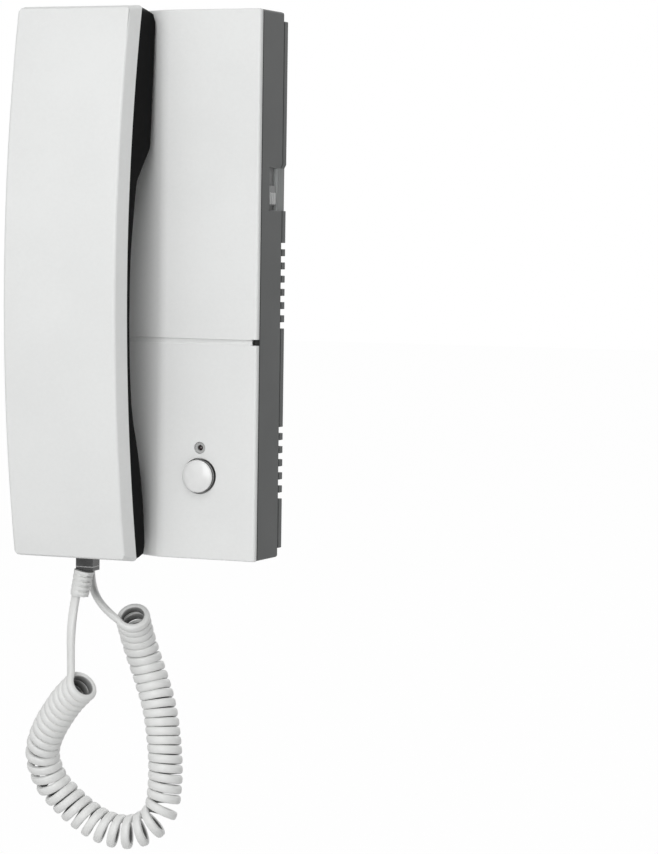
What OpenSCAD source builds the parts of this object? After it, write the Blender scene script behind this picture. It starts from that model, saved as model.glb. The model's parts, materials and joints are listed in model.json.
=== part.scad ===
// Wall intercom station: a flat base with a trough, an arched handset that lies in
// the trough on an inclined peg, and a curly cord between the two.
// Origin at the middle of the wall face, +X right, +Y into the wall, +Z up.

/* [Base] */
// Width of the base
base_w = 99.6; // [99:0.1:100]
// Height of the base
base_h = 220; // [219:0.5:221]
// Narrowing of the front cover on each side
cover_in = 0.45; // [0.3:0.05:0.6]
// Depth from the wall to the front panel
panel_depth = 27; // [26.8:0.1:27.4]
// Depth from the wall to the trough floor
floor_depth = 18; // [17.8:0.1:18.2]
// Where the panel turns down into the trough
crease_x = 7.2; // [7:0.1:7.6]
// Slope of the trough's side wall
trough_slope = 24; // [23:0.5:25]
// Rounding of the crease and of the trough's foot
crease_r = 12; // [8:1:14]
// Thickness of the front cover
cover_t = 2.2; // [2:0.1:2.3]
// Thickness of the rear case's walls
wall = 2; // [1.8:0.1:2.2]
// Depth of the stepped rim that meets the wall
rim_d = 4.4; // [4.2:0.1:4.6]

/* [Front panel] */
// Height of the panel's groove
groove_z = -22.3; // [-24:0.1:-20]
// Width of the groove
groove_w = 2; // [1:0.1:3]
// Sideways place of the button and the lamp
button_x = 24.8; // [24:0.1:25.5]
// Height of the door button
button_z = -76.4; // [-77:0.1:-76]
// Radius of the button's hole
button_hole_r = 7.2; // [7:0.1:7.4]
// Height of the lamp
lamp_z = -65.1; // [-65.5:0.1:-65]
// Radius of the lamp's hole
lamp_hole_r = 2.4; // [2.3:0.1:2.5]

/* [Handset] */
// Width across the parting line
hs_w = 54.1; // [53.8:0.1:54.2]
// Length of the handset
hs_len = 221.6; // [221:0.1:222]
// Depth from the wall to the handset's front
hs_front = 58; // [57.5:0.1:58.5]
// Radius of the arched front
hs_arc_r = 550; // [540:5:560]
// Depth of the white front shell's flank
flank_d = 6.7; // [6.4:0.1:7]
// Slant of the flank, sideways
flank_in = 2.5; // [2:0.1:3]
// Wall thickness of both handset shells
shell_t = 2; // [1.8:0.1:2.2]
// Height of the ear cup's centre
ear_z = 82; // [81:0.5:83]
// Radius of the ear cup
ear_r = 17; // [16.5:0.1:17.2]

/* [Wall plate] */
// Spacing of the upright pair of screw holes
upright_spacing = 83.5; // [80:0.5:86]
// Spacing of the level pair of screw holes
level_spacing = 60; // [56:0.5:62]
// Radius of the screw holes
plate_hole_r = 2.1; // [1.8:0.1:2.4]

/* [Cord] */
// Diameter of the cord
cord_d = 3; // [2.8:0.1:3.1]
// Radius of the curls at the middle of the cord
curl_r = 5.7; // [5.5:0.1:5.8]
// Gap between neighbouring curls
curl_gap = 0.6; // [0.6:0.05:0.8]
// Extra gap where the curls hang lowest
curl_sag = 0.6; // [0.4:0.1:0.8]

/* [Hidden] */
$fn = 48;
arc_fn = 360;
eps = 0.05;
far = 400;

// base
half_w = base_w / 2;
half_h = base_h / 2;
cover_half = half_w - cover_in;
panel_y = -panel_depth;
floor_y = -floor_depth;
foot_x = crease_x - (panel_depth - floor_depth) / tan(trough_slope);
back_y = -rim_d - wall;
edge_r = 1.2;
cover_lap = 0.4;
piece_gap = 0.2;
screw_way_r = 1.7;
rim_in = 0.9;
rim_lip = 0.8;
rim_groove = 1.1;
rim_end = 3.6;
rim_t = 1.6;
board_y = -11.4;
board_t = 1.6;
board_x = [-6, 45];
board_z = [-28, 66];
board_front = board_y - board_t;
small_board_y = -15;
small_board_front = small_board_y - board_t;
board_hole_r = 1.4;
post_r = 3;
bore_r = 1.2;
shank_r = 1.1;
cover_posts = [[43.6, 98], [43.6, -98], [-43.6, 98], [-43.6, -98]];
board_holes = [[-2, 62], [42, 62], [-2, -24], [42, -24]];
small_board_holes = [[14, -90], [36, -90], [14, -62]];
tab_places = [[36, 72], [-36, 72], [36, -72], [-36, -72]];
window_x = 17;
window_z = [8, 34];
ringer_at = [24, -45];
ringer_r = 14;
comb_pitch = 5.35;
comb_gap = 2.5;
comb_rows = [[17.5, 7], [-57.1, 6]];
volume_z = [30.4, 49.3];
volume_y = -16.4;
stem_y = [-15.6, -14];
stem_z = [35.7, 37.3];
volume_travel = 6.5;
pocket_d = 0.9;
pocket_rise = 1.8;
pocket_x = half_w - pocket_d;

// handset
hs_right = 3.7;
hs_left = hs_right - hs_w;
hs_mid = (hs_left + hs_right) / 2;
hs_half = hs_len / 2;
arc_y = hs_arc_r - hs_front;
arc_half = 13;
part_r = hs_arc_r - flank_d;
flank_edge_r = 1.5;
hs_corner_r = 2.4;
rear_step = 0.3;
cup_back = -21.6;
mouth_back = -21.5;
mouth_x = 16.5;
mouth_z = [-108.5, -74];
mouth_front = -36;
mic_z = -85;
screw_places = [[10, -49.4], [-50, -47.2]];
peg_from = [-16.9, 28.9];
peg_len = 33;
peg_w = 12;
peg_t = 5;
peg_slot = [24, 1.6, 6];
lift = [-sqrt(0.5), sqrt(0.5)];

// hook lever
pivot = [-12, 66];
pin_r = 1;
pin_gap = 0.06;
hook_w = 8;
hook_y = [-13.4, -10.6];

// plugs
plug_w = 7.65;
plug_d = 6.6;
plug_len = 15.5;
plug_gap = 0.2;
plug_way = [4.3, 3.8];
hs_plug_at = [hs_mid, -29.7, -116.8];
base_plug_at = [-31.4, -10.6, -113.5];
hs_boot_at = hs_plug_at - [0.7, 1.8, 0];
hs_boot_tilt = 11.4;
hs_boot_len = 10.6;
hs_boot_r = 4;
base_boot_len = 5;
base_boot_r = 3.6;

white = "whitesmoke";
grey = "dimgray";
black = "#1c1c1e";
steel = "silver";

function unit(v) = v / norm(v);
function smooth(t) = let (c = min(max(t, 0), 1)) c * c * (3 - 2 * c);

// arc that rounds corner b between a and c
function corner(a, b, c, r, n = 6) =
    let (
        u = unit(a - b),
        v = unit(c - b),
        h = acos(u * v) / 2,
        o = b + unit(u + v) * r / sin(h),
        s = b + u * r / tan(h) - o,
        e = b + v * r / tan(h) - o,
        a0 = atan2(s[1], s[0]),
        turn = atan2(e[1], e[0]) - a0,
        da = turn > 180 ? turn - 360 : turn < -180 ? turn + 360 : turn
    )
    [for (k = [0:n]) o + r * [cos(a0 + da * k / n), sin(a0 + da * k / n)]];

// outline from [x, y, rounding] points
function rounded(p) =
    let (n = len(p), q = [for (i = p) [i[0], i[1]]])
    [for (i = [0:n - 1])
        each p[i][2] == 0 ? [q[i]] : corner(q[(i + n - 1) % n], q[i], q[(i + 1) % n], p[i][2])];

// outline moved inwards by d
function inset(p, d) =
    let (n = len(p))
    [for (i = [0:n - 1])
        let (
            u = unit(p[i] - p[(i + n - 1) % n]),
            v = unit(p[(i + 1) % n] - p[i]),
            a = [-u[1], u[0]],
            b = [-v[1], v[0]]
        )
        p[i] + d * (a + b) / (1 + a * b)];

// point on a smooth curve through the points p, t from 0 to len(p) - 1
function on_curve(p, t) =
    let (
        n = len(p),
        i = min(floor(t), n - 2),
        f = t - i,
        b = p[i],
        c = p[i + 1],
        a = i > 0 ? p[i - 1] : 2 * b - c,
        d = i + 2 < n ? p[i + 2] : 2 * c - b
    )
    0.5 * (2 * b + (c - a) * f + (2 * a - 5 * b + 4 * c - d) * f * f + (3 * b - a - 3 * c + d) * f * f * f);

module block(lo, hi) {
    translate(lo) cube(hi - lo);
}

module along_z(h, outline) {
    linear_extrude(height = h, center = true) polygon(outline);
}

// outline in the Y-Z plane, extruded along X
module along_x(x0, x1, outline) {
    translate([x0, 0, 0]) rotate([90, 0, 90]) linear_extrude(height = x1 - x0) polygon(outline);
}

module y_rod(x, z, r, y0, y1) {
    translate([x, min(y0, y1), z]) rotate([-90, 0, 0]) cylinder(r = r, h = abs(y1 - y0));
}

module x_rod(y, z, r, x0, x1) {
    translate([x0, y, z]) rotate([0, 90, 0]) cylinder(r = r, h = x1 - x0);
}

module y_tube(x, z, outer, inner, y0, y1) {
    difference() {
        y_rod(x, z, outer, y0, y1);
        y_rod(x, z, inner, y0 - 1, y1 + 1);
    }
}

// [radius, x] outline turned along the handset's arch
module along_arch(outline) {
    translate([0, arc_y, 0]) rotate([0, 90, 0]) rotate([0, 0, -90 - arc_half])
        rotate_extrude(angle = 2 * arc_half, $fn = arc_fn) polygon(outline);
}

module screw(x, z, head_r, head_y, tip_y, seat_y) {
    y_rod(x, z, head_r, seat_y, head_y);
    y_rod(x, z, shank_r, tip_y, (seat_y + head_y) / 2);
}

// Base

cover_front = [
    [cover_half, panel_y, edge_r], [crease_x, panel_y, crease_r],
    [foot_x, floor_y, crease_r], [-cover_half, floor_y, edge_r]
];
cover_outline = rounded(concat(
    [[cover_half, panel_y + cover_t, 0]], cover_front,
    [[-cover_half, floor_y + cover_t, 0], [foot_x, floor_y + cover_t, crease_r],
     [crease_x, panel_y + cover_t, crease_r]]
));
cover_bulk = rounded(concat([[cover_half, far, 0]], cover_front, [[-cover_half, far, 0]]));

case_front = cover_half - cover_lap;
case_outline = rounded([
    [case_front, panel_y + cover_t, 0], [crease_x, panel_y + cover_t, crease_r],
    [foot_x, floor_y + cover_t, crease_r], [-case_front, floor_y + cover_t, 0],
    [-half_w, -rim_d, 0], [half_w, -rim_d, 0]
]);
case_inner = case_front - wall;
case_hollow = [[case_inner, -far], [case_inner, back_y], [-case_inner, back_y], [-case_inner, -far]];

module wall_plate() {
    plate_t = 1.2;
    plate = [42, 95];
    tab_w = 4;
    tab_t = 0.6;
    tab_y = -8.2;
    color(steel) {
        difference() {
            block([-plate[0], -plate_t, -plate[1]], [plate[0], 0, plate[1]]);
            for (s = [-1, 1]) {
                y_rod(0, s * upright_spacing / 2, plate_hole_r, -far, far);
                y_rod(s * level_spacing / 2, 0, plate_hole_r, -far, far);
            }
            block([-window_x, -far, window_z[0]], [window_x, far, window_z[1]]);
        }
        for (t = tab_places) {
            block([t[0] - tab_w, tab_y, t[1] - tab_t], [t[0] + tab_w, -tab_t, t[1] + tab_t]);
            block([t[0] - tab_w, tab_y, t[1]], [t[0] + tab_w, tab_y + 1, t[1] + 3.4]);
        }
    }
}

// frame that meets the wall, with a lip and a shadow groove round it
module rim() {
    x = half_w - rim_in;
    z = half_h - rim_end - rim_lip;
    difference() {
        union() {
            block([-x, -rim_d - eps, -z], [x, 0, z]);
            block([-x - rim_lip, rim_groove - rim_d, -z - rim_lip], [x + rim_lip, 0, z + rim_lip]);
        }
        block([rim_t - x, -far, rim_t - z], [x - rim_t, far, z - rim_t]);
    }
}

// floor of the finger pocket behind the volume knob
module pocket_floor() {
    block([pocket_x - wall, -rim_d - eps, volume_z[0] - wall], [half_w - rim_in, 0, volume_z[1] + wall]);
}

// finger pocket for the volume knob, its upper wall sloped
module volume_pocket() {
    z = volume_z;
    out = half_w + pocket_d;
    top = z[1] - pocket_rise;
    translate([0, 1, 0]) rotate([90, 0, 0]) linear_extrude(height = 1 - volume_y)
        polygon([[pocket_x, z[0]], [out, z[0]], [out, z[1] + pocket_rise], [pocket_x, top]]);
    block([case_inner - 1, volume_y, z[0]], [pocket_x + eps, back_y - piece_gap, top]);
}

module comb_notches() {
    for (side = [0, 1], row = comb_rows, i = [0:row[1] - 1])
        mirror([side, 0, 0])
            block([half_w - 5, -rim_d, row[0] - i * comb_pitch - comb_gap],
                  [half_w + 1, 1, row[0] - i * comb_pitch]);
}

module hook_ribs() {
    rib_t = 2;
    rib_front = pivot[0] - 2.8;
    rib_half = 5;
    hole_r = pin_r + 0.02;
    for (x = [hs_mid - hook_w / 2 - 1 - rib_t, hs_mid + hook_w / 2 + 1])
        difference() {
            block([x, rib_front, pivot[1] - rib_half], [x + rib_t, back_y + eps, pivot[1] + rib_half]);
            x_rod(pivot[0], pivot[1], hole_r, x - 1, x + rib_t + 1);
        }
}

module rear_case() {
    plug = base_plug_at;
    tab_slot = [5, -5.2, 0.8];
    board_post_r = 2.8;
    small_post_r = 2.5;
    ringer_wall = [ringer_r + 0.4, ringer_r + 2, 3];
    color(grey) {
        difference() {
            union() {
                difference() {
                    along_z(base_h, case_outline);
                    along_z(base_h - 2 * wall, case_hollow);
                }
                rim();
                pocket_floor();
            }
            comb_notches();
            block([-window_x, -far, window_z[0]], [window_x, far, window_z[1]]);
            volume_pocket();
            block([plug[0] - plug_way[0], plug[1] - plug_way[1], -far],
                  [plug[0] + plug_way[0], plug[1] + plug_way[1], wall - half_h + 1]);
            for (t = tab_places)
                block([t[0] - tab_slot[0], back_y - 1, t[1] + tab_slot[1]],
                      [t[0] + tab_slot[0], 1 - rim_d, t[1] + tab_slot[2]]);
            for (p = cover_posts)
                y_rod(p[0], p[1], screw_way_r, back_y - 1, 0);
        }
        for (p = board_holes)
            y_tube(p[0], p[1], board_post_r, bore_r, board_y, back_y + eps);
        for (p = small_board_holes)
            y_tube(p[0], p[1], small_post_r, bore_r, small_board_y, back_y + eps);
        y_tube(ringer_at[0], ringer_at[1], ringer_wall[1], ringer_wall[0],
               back_y - ringer_wall[2], back_y + eps);
        hook_ribs();
    }
}

module peg(half_x, grow, extra) {
    n = [lift[1], -lift[0]];
    h = peg_t / 2 + grow;
    tip = peg_from + (peg_len + extra) * lift;
    along_x(hs_mid - half_x, hs_mid + half_x,
            [peg_from - h * n, peg_from + h * n, tip + h * n, tip - h * n]);
}

module front_cover() {
    groove_d = 0.8;
    notch = [2.6, 1.2];
    slot_z = [77.5, 88.5];
    slot_x = hook_w / 2 + 1;
    rest_gap = 0.3;
    rest_t = 2;
    ear_rest = [[-14, 12], 7];
    mouth_rest = [[-12, 6], [-13, -7]];
    cover_back = -20;
    bore_end = [-14.6, -20];
    color(white) {
        difference() {
            union() {
                along_z(base_h, cover_outline);
                for (p = cover_posts)
                    y_rod(p[0], p[1], post_r, (p[0] > 0 ? panel_y : floor_y) + cover_t - eps, back_y - 0.1);
                peg(peg_w / 2, 0, 0);
                for (x = ear_rest[0])
                    block([hs_mid + x, cup_back + rest_gap, ear_z - ear_rest[1]],
                          [hs_mid + x + rest_t, floor_y + 1, ear_z + ear_rest[1]]);
                block([hs_mid + mouth_rest[0][0], mouth_back + rest_gap, mic_z + mouth_rest[1][0]],
                      [hs_mid + mouth_rest[0][1], floor_y + 1, mic_z + mouth_rest[1][1]]);
            }
            difference() {
                block([-far, -far, groove_z - groove_w / 2], [far, 0, groove_z + groove_w / 2]);
                translate([0, groove_d, 0]) along_z(base_h, cover_bulk);
            }
            block([cover_half - notch[0], -far, groove_z - notch[1]], [far, cover_back, groove_z + notch[1]]);
            for (p = cover_posts)
                y_rod(p[0], p[1], bore_r, bore_end[p[0] > 0 ? 1 : 0], 0);
            y_rod(button_x, button_z, button_hole_r, -far, cover_back);
            y_rod(button_x, lamp_z, lamp_hole_r, -far, cover_back);
            block([hs_mid - slot_x, -far, slot_z[0]], [hs_mid + slot_x, -10, slot_z[1]]);
        }
    }
}

module case_screws() {
    head = [2.7, 1.9];
    tip = [-13.5, -18];
    color(steel)
        for (p = cover_posts)
            screw(p[0], p[1], head[0], head[1] - rim_d, tip[p[0] > 0 ? 1 : 0], -rim_d);
}

module main_board() {
    color("darkgoldenrod")
        difference() {
            block([board_x[0], board_front, board_z[0]], [board_x[1], board_y, board_z[1]]);
            for (p = board_holes)
                y_rod(p[0], p[1], board_hole_r, -far, 0);
        }
}

module board_screws() {
    head = [2.4, 1.6];
    reach = 5;
    color(steel) {
        for (p = board_holes)
            screw(p[0], p[1], head[0], board_front - head[1], board_front + reach, board_front);
        for (p = small_board_holes)
            let (y = small_board_front)
                screw(p[0], p[1], head[0], y - head[1], y + reach, y);
    }
}

terminal_pitch = 5;
terminal_x = [for (i = [0:3]) -2.5 + i * terminal_pitch];
terminal_z = 20;
terminal_back = -5;
terminal_seat = -7.1;
terminal_r = 1.6;

module terminal_block() {
    half_z = 6;
    wire_r = 1.2;
    color("forestgreen")
        difference() {
            block([terminal_x[0] - 2.5, board_y, terminal_z - half_z],
                  [terminal_x[3] + 2.5, terminal_back, terminal_z + half_z]);
            for (x = terminal_x) {
                translate([x, terminal_seat - 1.3, terminal_z - half_z - 1]) cylinder(r = wire_r, h = half_z);
                y_rod(x, terminal_z, terminal_r + 0.1, terminal_seat, 0);
            }
        }
}

module terminal_screws() {
    slit = 0.3;
    color(steel)
        for (x = terminal_x)
            difference() {
                y_rod(x, terminal_z, terminal_r, terminal_seat, terminal_back + 0.4);
                block([x - terminal_pitch / 2, terminal_back, terminal_z - slit],
                      [x + terminal_pitch / 2, 0, terminal_z + slit]);
            }
}

module capacitors() {
    color("midnightblue")
        for (c = [[10, 50, 5, 8], [24, 55, 4, 7], [6, -14, 4, 7]])
            y_rod(c[0], c[1], c[2], board_front - c[3], board_front);
}

module amplifier_chip() {
    pins = 7;
    pin_pitch = 2.54;
    pin_w = [0.8, 0.6];
    x = [16, 22];
    top = 19;
    color("black") {
        block([x[0], board_front - 3, 0], [x[1], board_front - 0.6, top]);
        for (i = [0:pins - 1], side = [x[0] - pin_w[0], x[1]])
            translate([side, 0, pin_w[1] * 2.5 + i * pin_pitch])
                block([0, board_front - 1.6, 0], [pin_w[0], board_front, pin_w[1]]);
    }
}

module ringer() {
    front = -13.4;
    sound_hole = [2, 3.4];
    color("black")
        difference() {
            y_rod(ringer_at[0], ringer_at[1], ringer_r, front, back_y - eps);
            y_rod(ringer_at[0], ringer_at[1], sound_hole[0], front - 1, front + sound_hole[1]);
        }
}

module button_board() {
    x = [10, 40];
    z = [-94, -58];
    color("darkgoldenrod")
        difference() {
            block([x[0], small_board_front, z[0]], [x[1], small_board_y, z[1]]);
            for (p = small_board_holes)
                y_rod(p[0], p[1], board_hole_r, -far, 0);
        }
}

module button_switch() {
    half = 3;
    body_h = 3.5;
    plunger = [1.7, 0.8];
    front = small_board_front - body_h;
    color("black") {
        block([button_x - half, front, button_z - half],
              [button_x + half, small_board_front, button_z + half]);
        y_rod(button_x, button_z, plunger[0], front - plunger[1], front + eps);
    }
}

module door_button() {
    play = 0.6;
    cap_r = button_hole_r - play;
    rim_h = 1;
    dome_h = 2.5;
    flange_r = button_hole_r + play;
    flange = [-3.8, -2.6];
    stem = [2.5, -4.7];
    color(white)
        translate([button_x, panel_y, button_z]) rotate([90, 0, 0])
            rotate_extrude() polygon(concat(
                [[0, stem[1]], stem, [stem[0], flange[0]], [flange_r, flange[0]],
                 [flange_r, flange[1]], [cap_r, flange[1]], [cap_r, rim_h]],
                [for (k = [1:6]) [cap_r * cos(15 * k), rim_h + dome_h * sin(15 * k)]]
            ));
}

lamp_r = 1.5;
lamp_tip_r = 1.05;
lamp_step_y = panel_y + cover_t - 0.1;

module lamp() {
    color("darkred") {
        y_rod(button_x, lamp_z, lamp_r, lamp_step_y, small_board_front);
        y_rod(button_x, lamp_z, lamp_tip_r, lamp_step_y - 1.2, lamp_step_y + eps);
    }
}

module lamp_bezel() {
    flange = [2.9, 1.1];
    color(white)
        difference() {
            union() {
                y_rod(button_x, lamp_z, lamp_hole_r - 0.1, panel_y + 0.7, panel_y + cover_t + flange[1]);
                y_rod(button_x, lamp_z, flange[0], panel_y + cover_t + eps, panel_y + cover_t + flange[1]);
            }
            y_rod(button_x, lamp_z, lamp_tip_r + 0.1, -far, 0);
            y_rod(button_x, lamp_z, lamp_r + 0.1, lamp_step_y - eps, 0);
        }
}

module volume_switch() {
    body_x = [38.5, 44.4];
    body_h = 5.5;
    overlap = 2.5;
    color("black")
        block([body_x[0], board_front - body_h, volume_z[0] - overlap],
              [body_x[1], board_front, volume_z[1] + overlap]);
}

module volume_bezel() {
    plate_x = [45.4, 46.7];
    overlap = 2;
    slot_gap = 0.3;
    color("gray")
        difference() {
            block([plate_x[0], volume_y - 1.2, volume_z[0] - overlap],
                  [plate_x[1], back_y - piece_gap, volume_z[1] + overlap]);
            block([plate_x[0] - 1, stem_y[0] - slot_gap, stem_z[0] - slot_gap],
                  [plate_x[1] + 1, stem_y[1] + slot_gap, stem_z[1] + volume_travel + slot_gap]);
        }
}

module volume_knob() {
    cap_x = [47, 48.4];
    cap_y = [-15.4, -8.2];
    cap_z = [32.6, 40.4];
    stem_end = 44.6;
    ribs = 3;
    rib_pitch = 2.2;
    rib_from = [0.8, 0.4];
    rib = [0.7, 1, 4.6];
    color("gray") {
        block([cap_x[0], cap_y[0], cap_z[0]], [cap_x[1], cap_y[1], cap_z[1]]);
        for (i = [0:ribs - 1])
            translate([cap_x[1], cap_y[0] + rib_from[0] + i * rib_pitch, cap_z[0] + rib_from[1]])
                block([-eps, 0, 0], rib);
        block([stem_end, stem_y[0], stem_z[0]], [cap_x[0] + eps, stem_y[1], stem_z[1]]);
    }
}

module hook_lever() {
    x0 = hs_mid - hook_w / 2;
    x1 = hs_mid + hook_w / 2;
    boss_r = 2.6;
    arm_z = [54, 88];
    finger_z = [80, 87];
    finger_gap = 0.4;
    color("gray")
        difference() {
            union() {
                x_rod(pivot[0], pivot[1], boss_r, x0, x1);
                block([x0, hook_y[0], arm_z[0]], [x1, hook_y[1], arm_z[1]]);
                block([x0, cup_back + finger_gap, finger_z[0]], [x1, hook_y[0] + eps, finger_z[1]]);
            }
            x_rod(pivot[0], pivot[1], pin_r + pin_gap, x0 - 1, x1 + 1);
        }
}

module hook_pin() {
    pin_half = 7;
    color(steel) x_rod(pivot[0], pivot[1], pin_r, hs_mid - pin_half, hs_mid + pin_half);
}

module hook_switch() {
    half_x = 2.5;
    front = -8.5;
    z = [50, 58];
    color("black") block([hs_mid - half_x, front, z[0]], [hs_mid + half_x, back_y - eps, z[1]]);
}

// socket body with its mouth at the bottom
module jack(at, half_x, y, z) {
    color(black)
        difference() {
            block([at[0] - half_x, y[0], z[0]], [at[0] + half_x, y[1], z[1]]);
            block([at[0] - plug_w / 2 - plug_gap, at[1] - plug_d / 2 - plug_gap, -far],
                  [at[0] + plug_w / 2 + plug_gap, at[1] + plug_d / 2 + plug_gap,
                   at[2] + plug_len + plug_gap]);
        }
}

module base_jack() {
    half_x = 5.6;
    front = -15.6;
    top = -93;
    jack(base_plug_at, half_x, [front, back_y - eps], [wall - half_h + eps, top]);
}

// Handset

// end of the white shell seen from the side, [y, z beyond the handset's half length]
white_end = concat(
    [[-30, 1.4], [-40.6, 0]],
    corner([-40.6, 0], [-47.2, -0.9], [-49.1, -10.9], 2),
    [[-far, -3]]
);
white_limit = concat(
    [for (p = white_end) [p[0], hs_half + p[1]]],
    [for (i = [len(white_end) - 1:-1:0]) [white_end[i][0], -hs_half - white_end[i][1]]]
);

// rear line of the black shell seen from the side, top to bottom: cap, slanted seat, grip, mouth end
end_y = -40.6;
end_z = hs_half - 0.1;
end_lean = 0.136;
cap_top = [-26, 107.2];
cap_foot = [-30, 54.6];
seat_foot = [-42.2, 40.9];
grip = [[-43.6, 34], [-47.1, 10], [-47.5, -20], [-44.9, -48], [-38.6, -67], [-33.8, -86], [-31.8, -100]];
mouth_end = [-31.2, -107.2];
grip_steps = 4;
rear_line = concat(
    [[end_y, end_z]],
    corner([end_y, end_z], cap_top, cap_foot, 4),
    corner(cap_top, cap_foot, seat_foot, 6),
    corner(cap_foot, seat_foot, grip[0], 8),
    [for (i = [0:grip_steps * (len(grip) - 1)]) on_curve(grip, i / grip_steps)],
    corner(grip[len(grip) - 1], mouth_end, [end_y, -end_z], 4),
    [[end_y, -end_z]]
);
rear_side = concat([[-far, -end_z], [-far, end_z]], rear_line);
rear_hollow = inset(rear_side, -shell_t);

// what rounds the handset's four corners seen from the front; lean follows the slanted flank and end
module end_corners(half_x, half_z, lean) {
    r = hs_corner_r;
    for (sx = [0, 1], sz = [0, 1])
        translate([hs_mid, end_y, 0]) mirror([sx, 0, 0]) mirror([0, 0, sz])
            multmatrix([[1, lean[0], 0, half_x - r], [0, 1, 0, 0], [0, lean[1], 1, half_z - r]])
                translate([0, 20, 0]) rotate([90, 0, 0]) linear_extrude(height = 40)
                    difference() {
                        square(2 * r);
                        circle(r);
                    }
}

module handset_front_shell() {
    x0 = hs_left + flank_in;
    x1 = hs_right - flank_in;
    inner_r = hs_arc_r - shell_t - 0.2;
    inner_d = 9;
    taper = [0.3, 0.6];
    post = [7, 1.9];
    bore = 5.8;
    color(white)
        difference() {
            union() {
                difference() {
                    intersection() {
                        along_arch(rounded([
                            [part_r, hs_left, 0], [hs_arc_r, x0, flank_edge_r],
                            [hs_arc_r, x1, flank_edge_r], [part_r, hs_right, 0]
                        ]));
                        along_x(hs_left - 1, hs_right + 1, white_limit);
                    }
                    intersection() {
                        along_arch([
                            [part_r - inner_d, hs_left + shell_t + taper[0]], [part_r, hs_left + shell_t],
                            [inner_r, x0 + shell_t - taper[1]], [inner_r, x1 - shell_t + taper[1]],
                            [part_r, hs_right - shell_t], [part_r - inner_d, hs_right - shell_t - taper[0]]
                        ]);
                        block([-far, -far, shell_t - hs_half], [far, far, hs_half - shell_t]);
                    }
                }
                for (s = screw_places)
                    y_rod(hs_mid, s[0], post_r, s[1] - post[0], s[1] - post[1]);
            }
            for (s = screw_places)
                y_rod(hs_mid, s[0], bore_r, s[1] - bore, 0);
            end_corners(hs_w / 2, hs_half, [flank_in / flank_d, end_lean]);
        }
}

module behind_parting() {
    translate([hs_left - 10, arc_y, 0]) rotate([0, 90, 0])
        cylinder(r = part_r - eps, h = hs_w + 20, $fn = arc_fn);
}

module handset_rear_shell() {
    x0 = hs_left + rear_step;
    x1 = hs_right - rear_step;
    mouth0 = hs_mid - mouth_x;
    mouth1 = hs_mid + mouth_x;
    cup_front = -32;
    bay_front = -40;
    mouth_bay = mouth_front - 9;
    grille = 6;
    grille_r = 6;
    sound_r = 1.2;
    sound_from = -30;
    boss = [4.4, 1.8, 1];
    screw_way = 1.6;
    head_way = [3.1, -20];
    plug = hs_plug_at;
    plug_top = -100;
    color(black)
        difference() {
            union() {
                difference() {
                    union() {
                        intersection() {
                            along_x(x0, x1, rear_side);
                            behind_parting();
                        }
                        y_rod(hs_mid, ear_z, ear_r, cup_front, cup_back);
                        block([mouth0, mouth_front, mouth_z[0]], [mouth1, mouth_back, mouth_z[1]]);
                    }
                    along_x(x0 + shell_t, x1 - shell_t, rear_hollow);
                    y_rod(hs_mid, ear_z, ear_r - shell_t, bay_front, cup_back - shell_t);
                    block([mouth0 + shell_t, mouth_bay, mouth_z[0] + shell_t],
                          [mouth1 - shell_t, mouth_back - shell_t, mouth_z[1] - shell_t]);
                }
                for (s = screw_places)
                    y_rod(hs_mid, s[0], boss[0], s[1] - boss[1], s[1] + boss[2]);
            }
            for (s = screw_places) {
                y_rod(hs_mid, s[0], screw_way, s[1] - 3, 0);
                y_rod(hs_mid, s[0], head_way[0], s[1], head_way[1]);
            }
            peg(peg_slot[0] / 2, peg_slot[1], peg_slot[2]);
            y_rod(hs_mid, ear_z, sound_r, sound_from, 0);
            for (i = [0:grille - 1])
                let (a = 360 * i / grille)
                    y_rod(hs_mid + grille_r * cos(a), ear_z + grille_r * sin(a), sound_r, sound_from, 0);
            y_rod(hs_mid, mic_z, sound_r, sound_from, 0);
            block([plug[0] - plug_way[0], plug[1] - plug_way[1], -far],
                  [plug[0] + plug_way[0], plug[1] + plug_way[1], plug_top]);
            end_corners(hs_w / 2 - rear_step, end_z, [0, 0]);
        }
}

module handset_screws() {
    head = [2.8, 1.6];
    reach = 5.4;
    color(steel)
        for (s = screw_places)
            screw(hs_mid, s[0], head[0], s[1] + head[1], s[1] - reach, s[1]);
}

module handset_weight() {
    half_x = 12.5;
    y = [-54, -50.2];
    z = [-36, 0];
    color(steel) block([hs_mid - half_x, y[0], z[0]], [hs_mid + half_x, y[1], z[1]]);
}

gasket_t = 1.15;

module receiver() {
    r = ear_r - shell_t - 0.6;
    magnet_r = r - 4;
    can_front = -30.6;
    magnet_front = -34;
    color("gray") {
        y_rod(hs_mid, ear_z, r, can_front, cup_back - shell_t - gasket_t - eps);
        y_rod(hs_mid, ear_z, magnet_r, magnet_front, can_front + eps);
    }
}

module receiver_gasket() {
    r = ear_r - shell_t - 0.4;
    seat = cup_back - shell_t;
    color("black") y_tube(hs_mid, ear_z, r, r - 4, seat - gasket_t, seat - eps);
}

mic_r = 4.8;
mic_front = -29.6;
mic_back = mouth_back - shell_t - 0.6;

module microphone() {
    color("silver") y_rod(hs_mid, mic_z, mic_r, mic_front, mic_back);
}

module microphone_boot() {
    boot_r = 6.4;
    sound_r = 1.6;
    color("black")
        difference() {
            y_rod(hs_mid, mic_z, boot_r, mic_front + 0.6, mouth_back - shell_t - eps);
            y_rod(hs_mid, mic_z, mic_r + eps, mic_front - 1, mic_back + eps);
            y_rod(hs_mid, mic_z, sound_r, mic_front, 0);
        }
}

module handset_jack() {
    half_x = 6.5;
    y = [-34.8, mouth_back - shell_t - 0.4];
    top = -93.5;
    jack(hs_plug_at, half_x, y, [mouth_z[0] + shell_t + eps, top]);
}

// Cord and plugs

// four-way plug, its contacts near the top of its front face
contact_x = [for (i = [0:3]) (i - 1.5) * 1.27];
contact_w = 0.4;
contact_d = 2.3;
contact_len = 5.1;

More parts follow.
